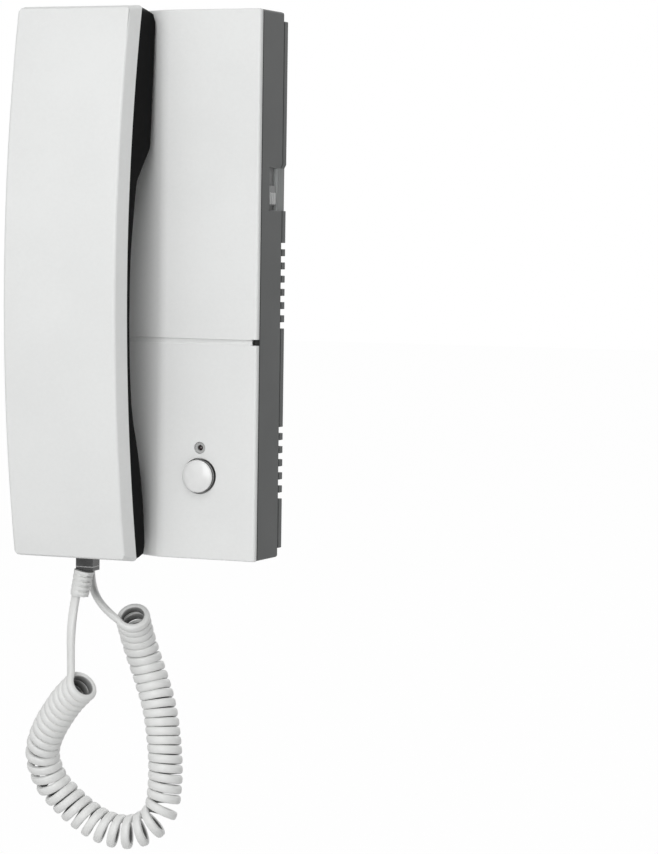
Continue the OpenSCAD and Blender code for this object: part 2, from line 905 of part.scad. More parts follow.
module plug(at) {
    latch = [1.6, 1, 9];
    slit = 0.4;
    color("slategray")
        translate(at)
            difference() {
                block([-plug_w / 2, -plug_d / 2, 0], [plug_w / 2, plug_d / 2, plug_len]);
                for (x = contact_x)
                    block([x - contact_w / 2 - eps, -plug_d, plug_len - contact_len - eps],
                          [x + contact_w / 2 + eps, contact_d - plug_d / 2 + eps, plug_len + 1]);
                for (s = [-1, 1])
                    block([s * (latch[0] + slit) - slit, plug_d / 2 - latch[1], plug_len - latch[2]],
                          [s * (latch[0] + slit) + slit, plug_d / 2 + 1, plug_len - 1]);
            }
}

module plug_contacts(at) {
    sunk = [0.2, 0.3];
    color("gold")
        translate(at)
            for (x = contact_x)
                block([x - contact_w / 2, sunk[0] - plug_d / 2, plug_len - contact_len],
                      [x + contact_w / 2, contact_d - plug_d / 2, plug_len - sunk[1]]);
}

// ribbed strain relief below a plug
module boot(length, radius, ribs) {
    core = [0.75, 0.8] * radius;
    taper = 0.1;
    rib_share = 0.62;
    step = length / ribs;
    color(white) {
        translate([0, 0, -length]) cylinder(r1 = core[0], r2 = core[1], h = length);
        for (i = [0:ribs - 1])
            translate([0, 0, -(i + rib_share) * step]) cylinder(r = radius - taper * i, h = step * rib_share);
    }
}

module handset_boot() {
    translate(hs_boot_at) rotate([0, hs_boot_tilt, 0]) boot(hs_boot_len, hs_boot_r, 5);
}

module base_boot() {
    translate(base_plug_at) boot(base_boot_len, base_boot_r, 3);
}

// middle line of the curls, from the handset's end to the base's end
coil_route = [
    [-20.3, -39.6, -162.3], [-28.6, -35.4, -169.2], [-34.5, -32.4, -175.6], [-39.7, -29.8, -182.3],
    [-43.6, -27.4, -189.1], [-45.5, -25.2, -195.4], [-44.9, -23, -201.8], [-42.5, -21, -208.1],
    [-38.1, -19.4, -213.3], [-31.6, -18, -219.1], [-23.8, -17, -223.8], [-15.9, -16.2, -226.1],
    [-8.9, -15.6, -225.9], [-3.1, -15, -223.7], [1.5, -14.6, -219.8], [3.9, -14.2, -214.9],
    [4.7, -13.8, -209], [5, -13.4, -202], [4.5, -12.8, -193.9], [3.5, -12.2, -186.6],
    [2.1, -11.6, -178.9], [0.1, -11.2, -171.2], [-2.8, -11, -163.1], [-5.5, -11.8, -154.9],
    [-7.2, -14.6, -146.3], [-6.9, -19, -140], [-5.7, -24, -135.1]
];
// how far each tail keeps the direction of its boot and of its curls
handset_pull = [15, 11];
base_pull = [10, 8];
// how far beside its middle the handset's boot lets the cord out
hs_cord_out = 1.5;
curl_start = 150;
curl_end = 50;
rings_per_curl = 8;
curl_sides = 6;
tail_sides = 8;
tail_rings = 20;
sag_from = -205;
sag_to = -222;

per = 12;
coil_last = len(coil_route) - 1;
coil_steps = per * coil_last;
coil_line = [for (i = [0:coil_steps]) on_curve(coil_route, i / per)];

function bend(i) =
    let (
        u = coil_line[i] - coil_line[max(i - per, 0)],
        v = coil_line[min(i + per, coil_steps)] - coil_line[i]
    )
    norm(u) == 0 || norm(v) == 0 ? 0
        : acos(min(1, unit(u) * unit(v))) * PI / 180 / ((norm(u) + norm(v)) / 2);

function pitch(i) =
    (cord_d + curl_gap + curl_sag * smooth((sag_from - coil_line[i][2]) / (sag_from - sag_to)))
    / (1 - curl_r * bend(i));

pitches = [for (i = [0:coil_steps]) pitch(i)];
steps_in_curls = [for (i = [1:coil_steps])
    norm(coil_line[i] - coil_line[i - 1]) / ((pitches[i] + pitches[i - 1]) / 2)];
// curls counted along the middle line, against the curve's parameter
curl_count = [for (i = 0, w = 0; i <= coil_steps; w = w + (i < coil_steps ? steps_in_curls[i] : 0), i = i + 1)
    [w, i / per]];
curls_natural = curl_count[coil_steps][0];
part_curl = (curl_start - curl_end) / 360;
curls = round(curls_natural - part_curl) + part_curl;
rings = round(curls * rings_per_curl);

function curl_point(m) =
    let (
        t = lookup(curls_natural * m / rings, curl_count),
        o = on_curve(coil_route, t),
        along = unit(on_curve(coil_route, min(t + 0.05, coil_last)) - on_curve(coil_route, max(t - 0.05, 0))),
        a = unit(cross(along, [0, 1, 0])),
        b = cross(along, a),
        turn = curl_start - 360 * curls * m / rings,
        out = cos(turn) * a + sin(turn) * b
    )
    [o + curl_r * out, out];

curl_points = [for (m = [0:rings]) curl_point(m)];
curl_path = [for (p = curl_points) p[0]];
start_dir = unit(curl_path[0] - curl_path[1]);
end_dir = unit(curl_path[rings] - curl_path[rings - 1]);
start_point = curl_path[0] + cord_d * start_dir;
end_point = curl_path[rings] + cord_d * end_dir;
boot_dir = [-sin(hs_boot_tilt), 0, -cos(hs_boot_tilt)];
hs_exit = hs_boot_at + hs_boot_len * boot_dir - [hs_cord_out, 0, 0];
base_exit = base_plug_at - [0, 0, base_boot_len];

// one smooth bend from a boot to the curls
function tail(exit, dir, joint, joint_dir, pull) =
    let (
        a = exit + pull[0] * dir,
        b = joint + pull[1] * joint_dir
    )
    [for (i = [0:tail_rings])
        let (t = i / tail_rings, u = 1 - t)
        u ^ 3 * exit + 3 * t * u ^ 2 * a + 3 * t ^ 2 * u * b + t ^ 3 * joint];

hs_tail_path = tail(hs_exit, boot_dir, start_point, start_dir, handset_pull);
base_tail_path = tail(base_exit, [0, 0, -1], end_point, end_dir, base_pull);

// round cord along a path, with one facing vector for each ring
module tube(path, facing, radius, sides, first, last) {
    n = len(path);
    ring_points = [for (i = [0:n - 1])
        let (
            t = i == 0 ? first : i == n - 1 ? last : unit(path[i + 1] - path[i - 1]),
            u = unit(facing[i] - (facing[i] * t) * t),
            v = cross(t, u)
        )
        each [for (k = [0:sides - 1])
            path[i] + radius * (cos(360 * k / sides) * u + sin(360 * k / sides) * v)]];
    walls = [for (i = [0:n - 2], k = [0:sides - 1])
        let (a = i * sides + k, b = i * sides + (k + 1) % sides)
        each [[a, a + sides, b + sides], [a, b + sides, b]]];
    caps = [for (k = [1:sides - 2])
        each [[0, k, k + 1], [(n - 1) * sides, (n - 1) * sides + k + 1, (n - 1) * sides + k]]];
    polyhedron(points = ring_points, faces = concat(walls, caps));
}

module cord_curls() {
    path = concat([start_point], curl_path, [end_point]);
    facing = concat([curl_points[0][1]], [for (p = curl_points) p[1]], [curl_points[rings][1]]);
    apart = min([for (i = [0:rings - 6]) for (j = [i + 6:rings]) norm(curl_path[i] - curl_path[j])]);
    echo(curls = curls, least_gap = apart - cord_d);
    color(white) tube(path, facing, cord_d / 2, curl_sides, -start_dir, end_dir);
}

module tail_tube(path, first, last) {
    facing = [for (p = path) [0, 1, 0]];
    color(white) tube(path, facing, cord_d / 2, tail_sides, first, last);
}

module cord_handset_tail() {
    tail_tube(hs_tail_path, boot_dir, -start_dir);
}

module cord_base_tail() {
    tail_tube(base_tail_path, [0, 0, -1], -end_dir);
}

module hook_spring() {
    turns = 4;
    wire_r = 0.3;
    coil_r = 2;
    y0 = back_y - wire_r - eps;
    y1 = hook_y[1] + wire_r + eps;
    count = turns * rings_per_curl;
    out = [for (i = [0:count]) let (a = 360 * i / rings_per_curl) [cos(a), 0, sin(a)]];
    path = [for (i = [0:count])
        [hs_mid, y0 + (y1 - y0) * i / count, 76] + coil_r * out[i]];
    color(steel)
        tube(path, out, wire_r, curl_sides, unit(path[1] - path[0]), unit(path[count] - path[count - 1]));
}

module handset_plug() { plug(hs_plug_at); }
module handset_plug_contacts() { plug_contacts(hs_plug_at); }
module base_plug() { plug(base_plug_at); }
module base_plug_contacts() { plug_contacts(base_plug_at); }

wall_plate();
rear_case();
front_cover();
case_screws();
main_board();
board_screws();
terminal_block();
terminal_screws();
capacitors();
amplifier_chip();
ringer();
button_board();
button_switch();
door_button();
lamp();
lamp_bezel();
volume_switch();
volume_bezel();
volume_knob();
hook_lever();
hook_pin();
hook_spring();
hook_switch();
base_jack();
handset_front_shell();
handset_rear_shell();
handset_screws();
handset_weight();
receiver();
receiver_gasket();
microphone();
microphone_boot();
handset_jack();
handset_plug();
handset_plug_contacts();
handset_boot();
cord_handset_tail();
cord_curls();
cord_base_tail();
base_boot();
base_plug();
base_plug_contacts();
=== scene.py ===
import json
import math

import bmesh
import bpy
from bpy.props import FloatProperty, FloatVectorProperty, IntProperty, PointerProperty
from mathutils import Matrix, Vector


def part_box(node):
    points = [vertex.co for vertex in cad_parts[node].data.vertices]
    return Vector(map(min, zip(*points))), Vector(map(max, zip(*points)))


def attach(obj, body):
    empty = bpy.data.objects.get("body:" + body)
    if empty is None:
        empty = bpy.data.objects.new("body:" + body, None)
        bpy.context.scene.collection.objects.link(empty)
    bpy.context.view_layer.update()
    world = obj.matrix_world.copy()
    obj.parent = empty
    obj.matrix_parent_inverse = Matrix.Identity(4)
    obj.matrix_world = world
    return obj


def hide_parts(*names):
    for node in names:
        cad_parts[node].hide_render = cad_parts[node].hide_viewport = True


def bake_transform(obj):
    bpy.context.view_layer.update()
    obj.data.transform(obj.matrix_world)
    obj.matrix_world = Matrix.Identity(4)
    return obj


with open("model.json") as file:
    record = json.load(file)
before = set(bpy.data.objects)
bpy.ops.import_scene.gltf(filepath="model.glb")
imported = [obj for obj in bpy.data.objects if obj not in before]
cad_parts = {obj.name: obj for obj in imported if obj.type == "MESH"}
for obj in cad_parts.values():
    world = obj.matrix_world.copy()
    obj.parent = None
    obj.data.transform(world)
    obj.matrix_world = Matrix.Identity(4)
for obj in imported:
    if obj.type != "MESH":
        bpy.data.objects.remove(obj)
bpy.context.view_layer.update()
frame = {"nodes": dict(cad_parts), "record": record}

bl_info = {
    "name": "Wall Intercom Station",
    "version": (1, 0, 0),
    "blender": (4, 5, 0),
    "location": "View3D > Sidebar > Intercom",
    "description": "Finishes a wall intercom station with a handset and a curly cord",
    "category": "Object",
}

MM = 0.001
IMAGE_SIZE = (658, 854)
SLOTS = {part["node"]: part["material_slot"] for part in frame["record"]["subparts"]}
BODIES = {node: body for body, nodes in frame["record"]["behaviour"]["bodies"].items() for node in nodes}


# Places in the frame, in millimetres

def frame_box(node):
    """Lowest and highest corner of a node."""
    return [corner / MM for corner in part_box(node)]


def foot_of(node):
    """Middle of a node's lower end."""
    low, high = frame_box(node)
    return Vector(((low.x + high.x) / 2, (low.y + high.y) / 2, low.z))


def on_panel(node):
    """Point of the panel's front in line with a node's middle."""
    low, high = frame_box(node)
    return Vector(((low.x + high.x) / 2, PANEL_Y, (low.z + high.z) / 2))


# Base
CASE_LOW, CASE_HIGH = frame_box("rear_case")
HALF_WIDTH = CASE_HIGH.x
HALF_HEIGHT = CASE_HIGH.z
FLANK_X = HALF_WIDTH - 1
COVER_THICKNESS = 2.2
PANEL_Y = CASE_LOW.y - COVER_THICKNESS
SEAM_Y = CASE_LOW.y + 1.5

# Door button and lamp: radii, and heights above the panel
BUTTON_AT = on_panel("door_button")
BUTTON_RADIUS = 6.6
BUTTON_EDGE = 2.2
BUTTON_DOME = 1.3
# Radii and heights of the painted shade on the button's side, and heights of the painted lit line round it
BUTTON_SHADE_RADII = (BUTTON_RADIUS - 0.2, BUTTON_RADIUS + 1)
BUTTON_SHADE_HEIGHTS = (-2, BUTTON_EDGE - 0.1)
BUTTON_LIT_LINE = (0.5, 1)
LAMP_AT = on_panel("lamp")
# Radius of the painted shade round the lamp
LAMP_RING = 2.25

# Volume slider, its plate and its pocket in the right flank
KNOB_RIBS = 0.5
KNOB_X = frame_box("volume_knob")[1].x - KNOB_RIBS
PLATE_X = frame_box("volume_bezel")[1].x
# The plate's skin takes a little painted light, and the knob beyond KNOB_X takes a painted highlight
PLATE_SKIN = (PLATE_X - 2, PLATE_X)
# The pocket's floor and the window's walls in these spans take painted light
POCKET_X = HALF_WIDTH - 0.9
POCKET_Y = (-16.4, 0)
POCKET_Z = (30.4, 47.4)
WINDOW_X = (PLATE_X - 1.5, POCKET_X - 0.3)

# Handset, whose two shells part on an arc
HANDSET_SIDES = (-50.1, 3.4)
HANDSET_MIDDLE = sum(HANDSET_SIDES) / 2
HANDSET_ENDS = 110.8
FRONT_END = HANDSET_ENDS - 2
FRONT_CORNER = 23.4
BACK_END = HANDSET_ENDS - 3
ARCH_CENTRE_Y = 492
PARTING_RADIUS = 543.3

# Plugs and the boots below them
# Height of the painted highlight line across each plug
PLUG_GLINT_Z = foot_of("handset_plug").z + 1.65
PLUG_GLINT = (PLUG_GLINT_Z - 0.1, PLUG_GLINT_Z + 0.1)
HANDSET_BOOT = {
    "at": foot_of("handset_plug") + Vector((-0.7, -1.8, 0)), "length": 10.6, "radius": 4, "ribs": 5,
    "tilt": math.radians(11.4), "cord_out": 1.5,
}
BASE_BOOT = {
    "at": foot_of("base_plug"), "length": 5, "radius": 3.6, "ribs": 3,
    "tilt": 0, "cord_out": 0,
}
ENDS = {"base": BASE_BOOT, "handset": HANDSET_BOOT}

# Middle line of the curls
COIL_ROUTE = [
    (-20.3, -39.6, -162.3), (-28.6, -35.4, -169.2), (-34.5, -32.4, -175.6), (-39.7, -29.8, -182.3),
    (-43.6, -27.4, -189.1), (-45.5, -25.2, -195.4), (-44.9, -23, -201.8), (-42.5, -21, -208.1),
    (-38.1, -19.4, -213.3), (-31.6, -18, -219.1), (-23.8, -17, -223.8), (-15.9, -16.2, -226.1),
    (-8.9, -15.6, -225.9), (-3.1, -15, -223.7), (1.5, -14.6, -219.8), (3.9, -14.2, -214.9),
    (4.7, -13.8, -209), (5, -13.4, -202), (4.5, -12.8, -193.9), (3.5, -12.2, -186.6),
    (2.1, -11.6, -178.9), (0.1, -11.2, -171.2), (-2.8, -11, -163.1), (-5.5, -11.8, -154.9),
    (-7.2, -14.6, -146.3), (-6.9, -19, -140), (-5.7, -24, -135.1),
]
# How far each tail keeps the direction of its boot, and that of the curls
HANDSET_PULL = (15, 11)
BASE_PULL = (10, 8)
# Heights between which the curls begin to sag apart and do so fully
SAG_RANGE = (-205, -222)

# Turns of the first and the last point of the curls, in degrees
CURL_TURN = (150, 50)
# Steps of the middle line from one point of the route to the next, and half of the stretch for its direction
STEPS_PER_POINT = 12
DIRECTION_REACH = 0.05
# Points in each curl of the solid cord, whose outermost ones give the directions of the tails
SOLID_RINGS = 8
TAIL_STEPS = 40
# Power of a tube's section, which is fuller than an ellipse
FULLNESS = 2 / 2.8
# Name of the cord's own values for the painted shade on the inner side of the curls
CURL_SHADE_ATTRIBUTE = "grime"

# Edges that turn more than this are sharp, and so are a strain relief's above the second angle
SHARP_ANGLE = math.radians(32)
RIB_ANGLE = math.radians(50)
# Faces that turn less than this are one face, and points nearer than this, in metres, are one point
FLAT_ANGLE = math.radians(0.3)
MERGE_DISTANCE = MM / 500
BEVEL_SEGMENTS = 3
# How near to a face a point is on it, and how near to the axis an outline starts, in millimetres
NEAR = 0.05
AXIS = 0.02

# Lamps' places and widths, the point that they face and the floor's half width, in metres
LAMPS = {
    "key": ((0.11, -1, 0.15), 0.6),
    "top": ((0.12, -0.75, 0.9), 0.5),
    "rear": ((0.6, 1.9, 1.2), 1.5),
}
LAMP_TARGET = Vector((0, 0, -0.06))
FLOOR_HALF = 8
# Share of the floor's own white where it is seen, which leaves the rest to the shadow
FLOOR_GLOW = 0.985
WHITE = (1, 1, 1, 1)


# Settings

class IntercomCord(bpy.types.PropertyGroup):
    """Sizes of the curly cord"""

    width: FloatProperty(
        name="Width", description="Width of the cord along the curls' axis",
        default=3.6 * MM, unit="LENGTH", precision=4)
    thickness: FloatProperty(
        name="Thickness", description="Thickness of the cord across the curls",
        default=2.8 * MM, unit="LENGTH", precision=4)
    curl_radius: FloatProperty(
        name="Curl radius", description="Radius of the curls at the middle of the cord",
        default=5.75 * MM, unit="LENGTH", precision=4)
    spacing: FloatProperty(
        name="Spacing", description="Spacing of neighbouring curls on their inner side",
        default=3.6 * MM, unit="LENGTH", precision=4)
    sag: FloatProperty(
        name="Sag", description="Extra spacing where the curls hang lowest",
        default=0.6 * MM, unit="LENGTH", precision=4)
    reach: FloatProperty(
        name="Reach", description="Straight length between the curls and a tail",
        default=3 * MM, unit="LENGTH", precision=4)
    rings: IntProperty(
        name="Rings", description="Rings of the tube in each curl", default=26, min=12)
    sides: IntProperty(
        name="Sides", description="Sides of the tube", default=14, min=6)


class IntercomEdges(bpy.types.PropertyGroup):
    """Roundings of the moulded pieces"""

    fine: FloatProperty(
        name="Fine", description="Rounding of small moulded edges",
        default=0.2 * MM, unit="LENGTH", precision=4)
    common: FloatProperty(
        name="Common", description="Rounding of the handset's front and the hook lever",
        default=0.35 * MM, unit="LENGTH", precision=4)
    ends: FloatProperty(
        name="Ends", description="Rounding of the panel's top and bottom edges",
        default=0.6 * MM, unit="LENGTH", precision=4)
    tray: FloatProperty(
        name="Tray", description="Rounding of the corners at the rear case's top and bottom",
        default=0.9 * MM, unit="LENGTH", precision=4)
    flank: FloatProperty(
        name="Flank", description="Rounding of the handset's black rear edges",
        default=1.2 * MM, unit="LENGTH", precision=4)


def colour(name, description, value):
    """A colour setting with its default."""
    return FloatVectorProperty(
        name=name, description=description, default=value, size=3, min=0, max=1, subtype="COLOR")


class IntercomColours(bpy.types.PropertyGroup):
    """Colours of the finishes"""

    white: colour("White", "Panel cover, lamp ring and handset front", (0.74, 0.748, 0.742))
    grey: colour("Grey", "Rear case", (0.118, 0.122, 0.121))
    black: colour("Black", "Handset back", (0.004, 0.004, 0.0043))
    mid_grey: colour("Middle grey", "Volume slider and hook lever", (0.26, 0.264, 0.263))
    button: colour("Button", "Door button", (0.76, 0.765, 0.76))
    lamp: colour("Lamp", "Lamp's resin, not lit", (0.02, 0.008, 0.008))
    cord: colour("Cord", "Cord and strain reliefs", (0.775, 0.78, 0.77))
    plug: colour("Plug", "Clear plugs", (0.035, 0.036, 0.037))
    gold: colour("Gold", "Contacts of the plugs", (0.83, 0.62, 0.26))
    steel: colour("Steel", "Screws, hook pin and spring", (0.58, 0.585, 0.59))
    can: colour("Can", "Receiver and microphone", (0.62, 0.62, 0.61))
    rubber: colour("Rubber", "Receiver gasket and microphone boot", (0.018, 0.018, 0.018))
    component: colour("Component", "Chip, ringer, switches and sockets", (0.02, 0.02, 0.021))
    board: colour("Board", "Circuit boards", (0.34, 0.2, 0.07))
    terminal: colour("Terminal", "Terminal block", (0.06, 0.3, 0.09))
    sleeve: colour("Sleeve", "Capacitor sleeves", (0.03, 0.03, 0.15))


class IntercomStage(bpy.types.PropertyGroup):
    """Camera, lamps and floor"""

    azimuth: FloatProperty(
        name="Azimuth", description="Turn of the camera to the right of the panel",
        default=math.radians(21.668), subtype="ANGLE")
    pitch: FloatProperty(
        name="Pitch", description="Downward tilt of the camera",
        default=math.radians(3.65), subtype="ANGLE")
    roll: FloatProperty(
        name="Roll", description="Roll of the camera",
        default=math.radians(0.822), subtype="ANGLE")
    eye: FloatVectorProperty(
        name="Eye", description="Place of the camera",
        default=(508.87 * MM, -1104.95 * MM, 19.37 * MM), subtype="TRANSLATION", unit="LENGTH")
    focal_pixels: FloatProperty(
        name="Focal length", description="Focal length in pixels of the picture",
        default=2946.36, subtype="PIXEL")
    key: FloatProperty(
        name="Key lamp", description="Strength of the front lamp", default=4.7, unit="POWER")
    top: FloatProperty(
        name="Top lamp", description="Strength of the lamp above the front", default=3.0, unit="POWER")
    rear: FloatProperty(
        name="Rear lamp", description="Strength of the lamp behind", default=12, unit="POWER")
    ambient: FloatProperty(
        name="Ambient", description="Strength of the light from all around", default=0.36)
    floor: FloatProperty(
        name="Floor", description="Height of the floor", default=-0.32, unit="LENGTH")


# Shader maths

class Signal:
    """A socket of a material's nodes, so that shader maths is written as plain expressions."""

    def __init__(self, tree, socket=None):
        self.tree = tree
        self.socket = socket

    def node(self, kind, settings=None, inputs=None, output=0):
        """Add a node: first its settings, then its sockets' values or links."""
        new = self.tree.nodes.new(kind)
        for key, value in (settings or {}).items():
            setattr(new, key, value)
        self.feed(new, inputs or {})
        return Signal(self.tree, new.outputs[output])

    def feed(self, node, inputs):
        """Set or link the sockets of a node."""
        for key, value in inputs.items():
            if isinstance(value, Signal):
                self.tree.links.new(value.socket, node.inputs[key])
            else:
                node.inputs[key].default_value = value

    def math(self, operation, first, second):
        return self.node("ShaderNodeMath", {"operation": operation}, {0: first, 1: second})

    def __add__(self, other):
        return self.math("ADD", self, other)

    def __radd__(self, other):
        return self.math("ADD", other, self)

    def __sub__(self, other):
        return self.math("SUBTRACT", self, other)

    def __rsub__(self, other):
        return self.math("SUBTRACT", other, self)

    def __mul__(self, other):
        return self.math("MULTIPLY", self, other)

    def __rmul__(self, other):
        return self.math("MULTIPLY", other, self)

    def mix(self, low, high):
        """Colour between low and high, by this value."""
        return self.node("ShaderNodeMix", {"data_type": "RGBA"}, {0: self, 6: low, 7: high}, output=2)

    def step(self, low, high):
        """0 below low, 1 above high, and a smooth rise between."""
        settings = {"interpolation_type": "SMOOTHSTEP"}
        return self.node("ShaderNodeMapRange", settings, {"Value": self, 1: low, 2: high})


def new_finish(slot):
    """A new material, and the place on the piece, from which its shader maths starts."""
    material = bpy.data.materials.new(slot + "_finish")
    material.use_nodes = True
    return material, Signal(material.node_tree).node("ShaderNodeTexCoord", output="Object")


def dress(material, sockets):
    """Set or link the sockets of the material's own shader."""
    shader = material.node_tree.nodes["Principled BSDF"]
    Signal(material.node_tree).feed(shader, sockets)
    return material


def noise(place, size, detail=2):
    """Noise with blobs of about the given size in millimetres."""
    inputs = {"Vector": place, "Scale": 0.5 / (size * MM), "Detail": detail, "Roughness": 0.5}
    return place.node("ShaderNodeTexNoise", None, inputs)


def bump(height, depth):
    """Relief of the given depth in millimetres."""
    inputs = {"Strength": 1.0, "Distance": depth * MM, "Height": height}
    return height.node("ShaderNodeBump", None, inputs)


def shade_of(base, factor):
    """A colour made darker or paler, with its alpha."""
    return (*(min(1.0, part * factor) for part in base), 1.0)


def cloudy(tone, base, dark, pale):
    """A colour that drifts between two shades of itself, by noise that mostly lies from 0.3 to 0.7."""
    return tone.step(0.3, 0.7).mix(shade_of(base, dark), shade_of(base, pale))


def uneven(value, tone, spread):
    """A value that noise moves up and down by half of the spread."""
    return value + spread * (tone - 0.5)


def along(place, axis):
    return place.node("ShaderNodeSeparateXYZ", None, {"Vector": place}, output=axis)


def between(value, low, high):
    """1 from low to high in millimetres, with soft ends."""
    soft = 0.15
    return value.step((low - soft) * MM, low * MM) - value.step(high * MM, (high + soft) * MM)


def from_axis(place, centre):
    """Distance from the axis that stands on the panel at centre."""
    offset = place.node("ShaderNodeVectorMath", {"operation": "SUBTRACT"}, {0: place, 1: centre * MM})
    flat = offset.node("ShaderNodeVectorMath", {"operation": "MULTIPLY"}, {0: offset, 1: (1, 0, 1)})
    return flat.node("ShaderNodeVectorMath", {"operation": "LENGTH"}, {0: flat}, output="Value")


# Painted light and shade on the plastics: the share of a mark at each place, and its shade beside the plastic
# round it

def lamp_recess_shade(place):
    """Painted shade: a darker ring round the lamp, where its recess lies in shade."""
    shade = 0.5
    return between(from_axis(place, LAMP_AT), 0, LAMP_RING), shade


def pocket_painted_light(place):
    """Painted light: the volume pocket's floor, and more strongly the walls of its window, made paler to
    stand in for the light on them.
    """
    shade = 4
    floor_share, window_share = 0.36, 0.64
    depth = along(place, "X")
    painted_light = floor_share * between(depth, PLATE_X, POCKET_X) + window_share * between(depth, *WINDOW_X)
    opening = between(along(place, "Y"), *POCKET_Y) * between(along(place, "Z"), *POCKET_Z)
    return painted_light * opening, shade


def seam_shadow(place):
    """The dark line where the case meets the front cover, and the dark bottom of the panel's notch."""
    shade = 0.04
    return between(along(place, "Y"), PANEL_Y, SEAM_Y), shade


def knob_and_plate_painted_light(place):
    """Painted highlight on the ribs of the volume knob, and a little painted light on the plate behind it."""
    shade = 2.2
    plate_share = 0.2
    depth = along(place, "X")
    return between(depth, KNOB_X, HALF_WIDTH) + plate_share * between(depth, *PLATE_SKIN), shade


# Finishes, with grain, patches and depths in millimetres

def moulded(slot, base, roughness, grain, depth, specular, marks=()):
    """Moulded plastic: fine spark grain, faint flow marks and a little handling shine."""
    material, place = new_finish(slot)
    flow = noise(place, 22, detail=3)
    speck = noise(place, 0.7)
    shine = noise(place, 9, detail=4)
    skin = cloudy(0.7 * flow + 0.3 * speck, base, dark=0.975, pale=1.02)
    # The marks lay painted light and shade over the plastic
    for mark in marks:
        share, shade = mark(place)
        skin = share.mix(skin, shade_of(base, shade))
    return dress(material, {
        "Base Color": skin,
        "Roughness": uneven(roughness, shine, 0.14),
        "Specular IOR Level": specular,
        "Normal": bump(noise(place, grain, detail=3), depth),
    })


def white_plastic(slot, colours):
    # The white plastic carries painted shade round the lamp
    return moulded(slot, colours.white, roughness=0.46, grain=0.5, depth=0.012, specular=0.4,
                   marks=[lamp_recess_shade])


def grey_plastic(slot, colours):
    # The grey case carries painted light in the volume pocket and painted shade along the seam
    return moulded(slot, colours.grey, roughness=0.58, grain=0.6, depth=0.03, specular=0.3,
                   marks=[pocket_painted_light, seam_shadow])


def black_plastic(slot, colours):
    return moulded(slot, colours.black, roughness=0.42, grain=0.5, depth=0.02, specular=0.018)


def mid_grey_plastic(slot, colours):
    # The slider carries a painted highlight on the knob's ribs and a little painted light on its plate
    return moulded(slot, colours.mid_grey, roughness=0.5, grain=0.5, depth=0.02, specular=0.35,
                   marks=[knob_and_plate_painted_light])


def terminal_green(slot, colours):
    return moulded(slot, colours.terminal, roughness=0.5, grain=0.5, depth=0.02, specular=0.4)


def component_black(slot, colours):
    return moulded(slot, colours.component, roughness=0.5, grain=0.3, depth=0.02, specular=0.35)


def soft_rubber(slot, colours):
    return moulded(slot, colours.rubber, roughness=0.85, grain=0.4, depth=0.03, specular=0.2)


def cord_white(slot, colours):
    """Soft satin plastic with a faint texture, a trace of grey from handling, and painted shade on the inner
    side of the curls.
    """
    material, place = new_finish(slot)
    grey = noise(place, 16, detail=4)
    skin = noise(place, 0.9, detail=3)
    tone = 0.75 * grey + 0.25 * skin
    unshaded = tone.step(0.3, 0.65).mix(shade_of(colours.cord, 0.95), shade_of(colours.cord, 1.01))
    # Painted shade on the inner side of the curls
    grime = place.node("ShaderNodeAttribute", {"attribute_name": CURL_SHADE_ATTRIBUTE}, output="Fac")
    return dress(material, {
        "Base Color": grime.step(0.25, 0.7).mix(unshaded, shade_of(colours.cord, 0.25)),
        "Roughness": uneven(0.4, grey, 0.16),
        "Specular IOR Level": 0.4,
        "Normal": bump(skin, 0.02),
    })


def button_white(slot, colours):
    """Polished pearl plastic under a clear gloss, with painted shade on its side and a painted lit line
    running round it.
    """
    material, place = new_finish(slot)
    pearl = noise(place, 2.5, detail=4)
    top = cloudy(pearl, colours.button, dark=0.95, pale=1)
    height = PANEL_Y * MM - along(place, "Y")
    # Painted shade on the button's side, with a painted lit line round it, where the gap and side wall fall
    # in shade
    line = between(height, *BUTTON_LIT_LINE)
    shaded_band = line.mix(shade_of(colours.button, 0.08), shade_of(colours.button, 0.6))
    side = between(from_axis(place, BUTTON_AT), *BUTTON_SHADE_RADII) * between(height, *BUTTON_SHADE_HEIGHTS)
    return dress(material, {
        "Base Color": side.mix(top, shaded_band),
        "Roughness": uneven(0.26, pearl, 0.1),
        "Coat Weight": uneven(0.4, pearl, 0.2),
        "Coat Roughness": 0.1,
        "Normal": bump(noise(place, 0.8), 0.004),
    })


def lamp_red(slot, colours):
    """Diffused resin of a lamp that is off."""
    material, place = new_finish(slot)
    cloud = noise(place, 0.6, detail=3)
    return dress(material, {
        "Base Color": cloudy(cloud, colours.lamp, dark=0.8, pale=1.2),
        "Roughness": uneven(0.3, cloud, 0.1),
        "Coat Weight": 0.5,
    })


def plug_clear(slot, colours):
    """Smoky clear plastic, dark where it is thick, with a painted highlight line across it."""
    material, place = new_finish(slot)
    cloud = noise(place, 1.6, detail=3)
    smoke = cloudy(cloud, colours.plug, dark=0.6, pale=1.4)
    # Painted highlight line across the plug
    glint = between(along(place, "Z"), *PLUG_GLINT)
    glint_colour = (0.5, 0.5, 0.5, 1)
    return dress(material, {
        "Base Color": glint.mix(smoke, glint_colour),
        "Roughness": uneven(0.12, cloud, 0.08),
        "Transmission Weight": 0.15,
        "IOR": 1.58,
        "Normal": bump(cloud, 0.02),
    })


def metal(slot, base, roughness, patch, depth):
    """Plated or drawn metal with a patchy sheen."""
    material, place = new_finish(slot)
    sheen = noise(place, patch, detail=4)
    fine = noise(place, 0.25)
    return dress(material, {
        "Base Color": cloudy(sheen, base, dark=0.86, pale=1.06),
        "Roughness": uneven(uneven(roughness, sheen, 0.2), fine, 0.08),
        "Metallic": 1.0,
        "Normal": bump(fine, depth),
    })


def contact_gold(slot, colours):
    return metal(slot, colours.gold, roughness=0.24, patch=1.2, depth=0.002)


def screw_steel(slot, colours):
    return metal(slot, colours.steel, roughness=0.34, patch=1.5, depth=0.006)


def receiver_can(slot, colours):
    return metal(slot, colours.can, roughness=0.38, patch=3, depth=0.004)


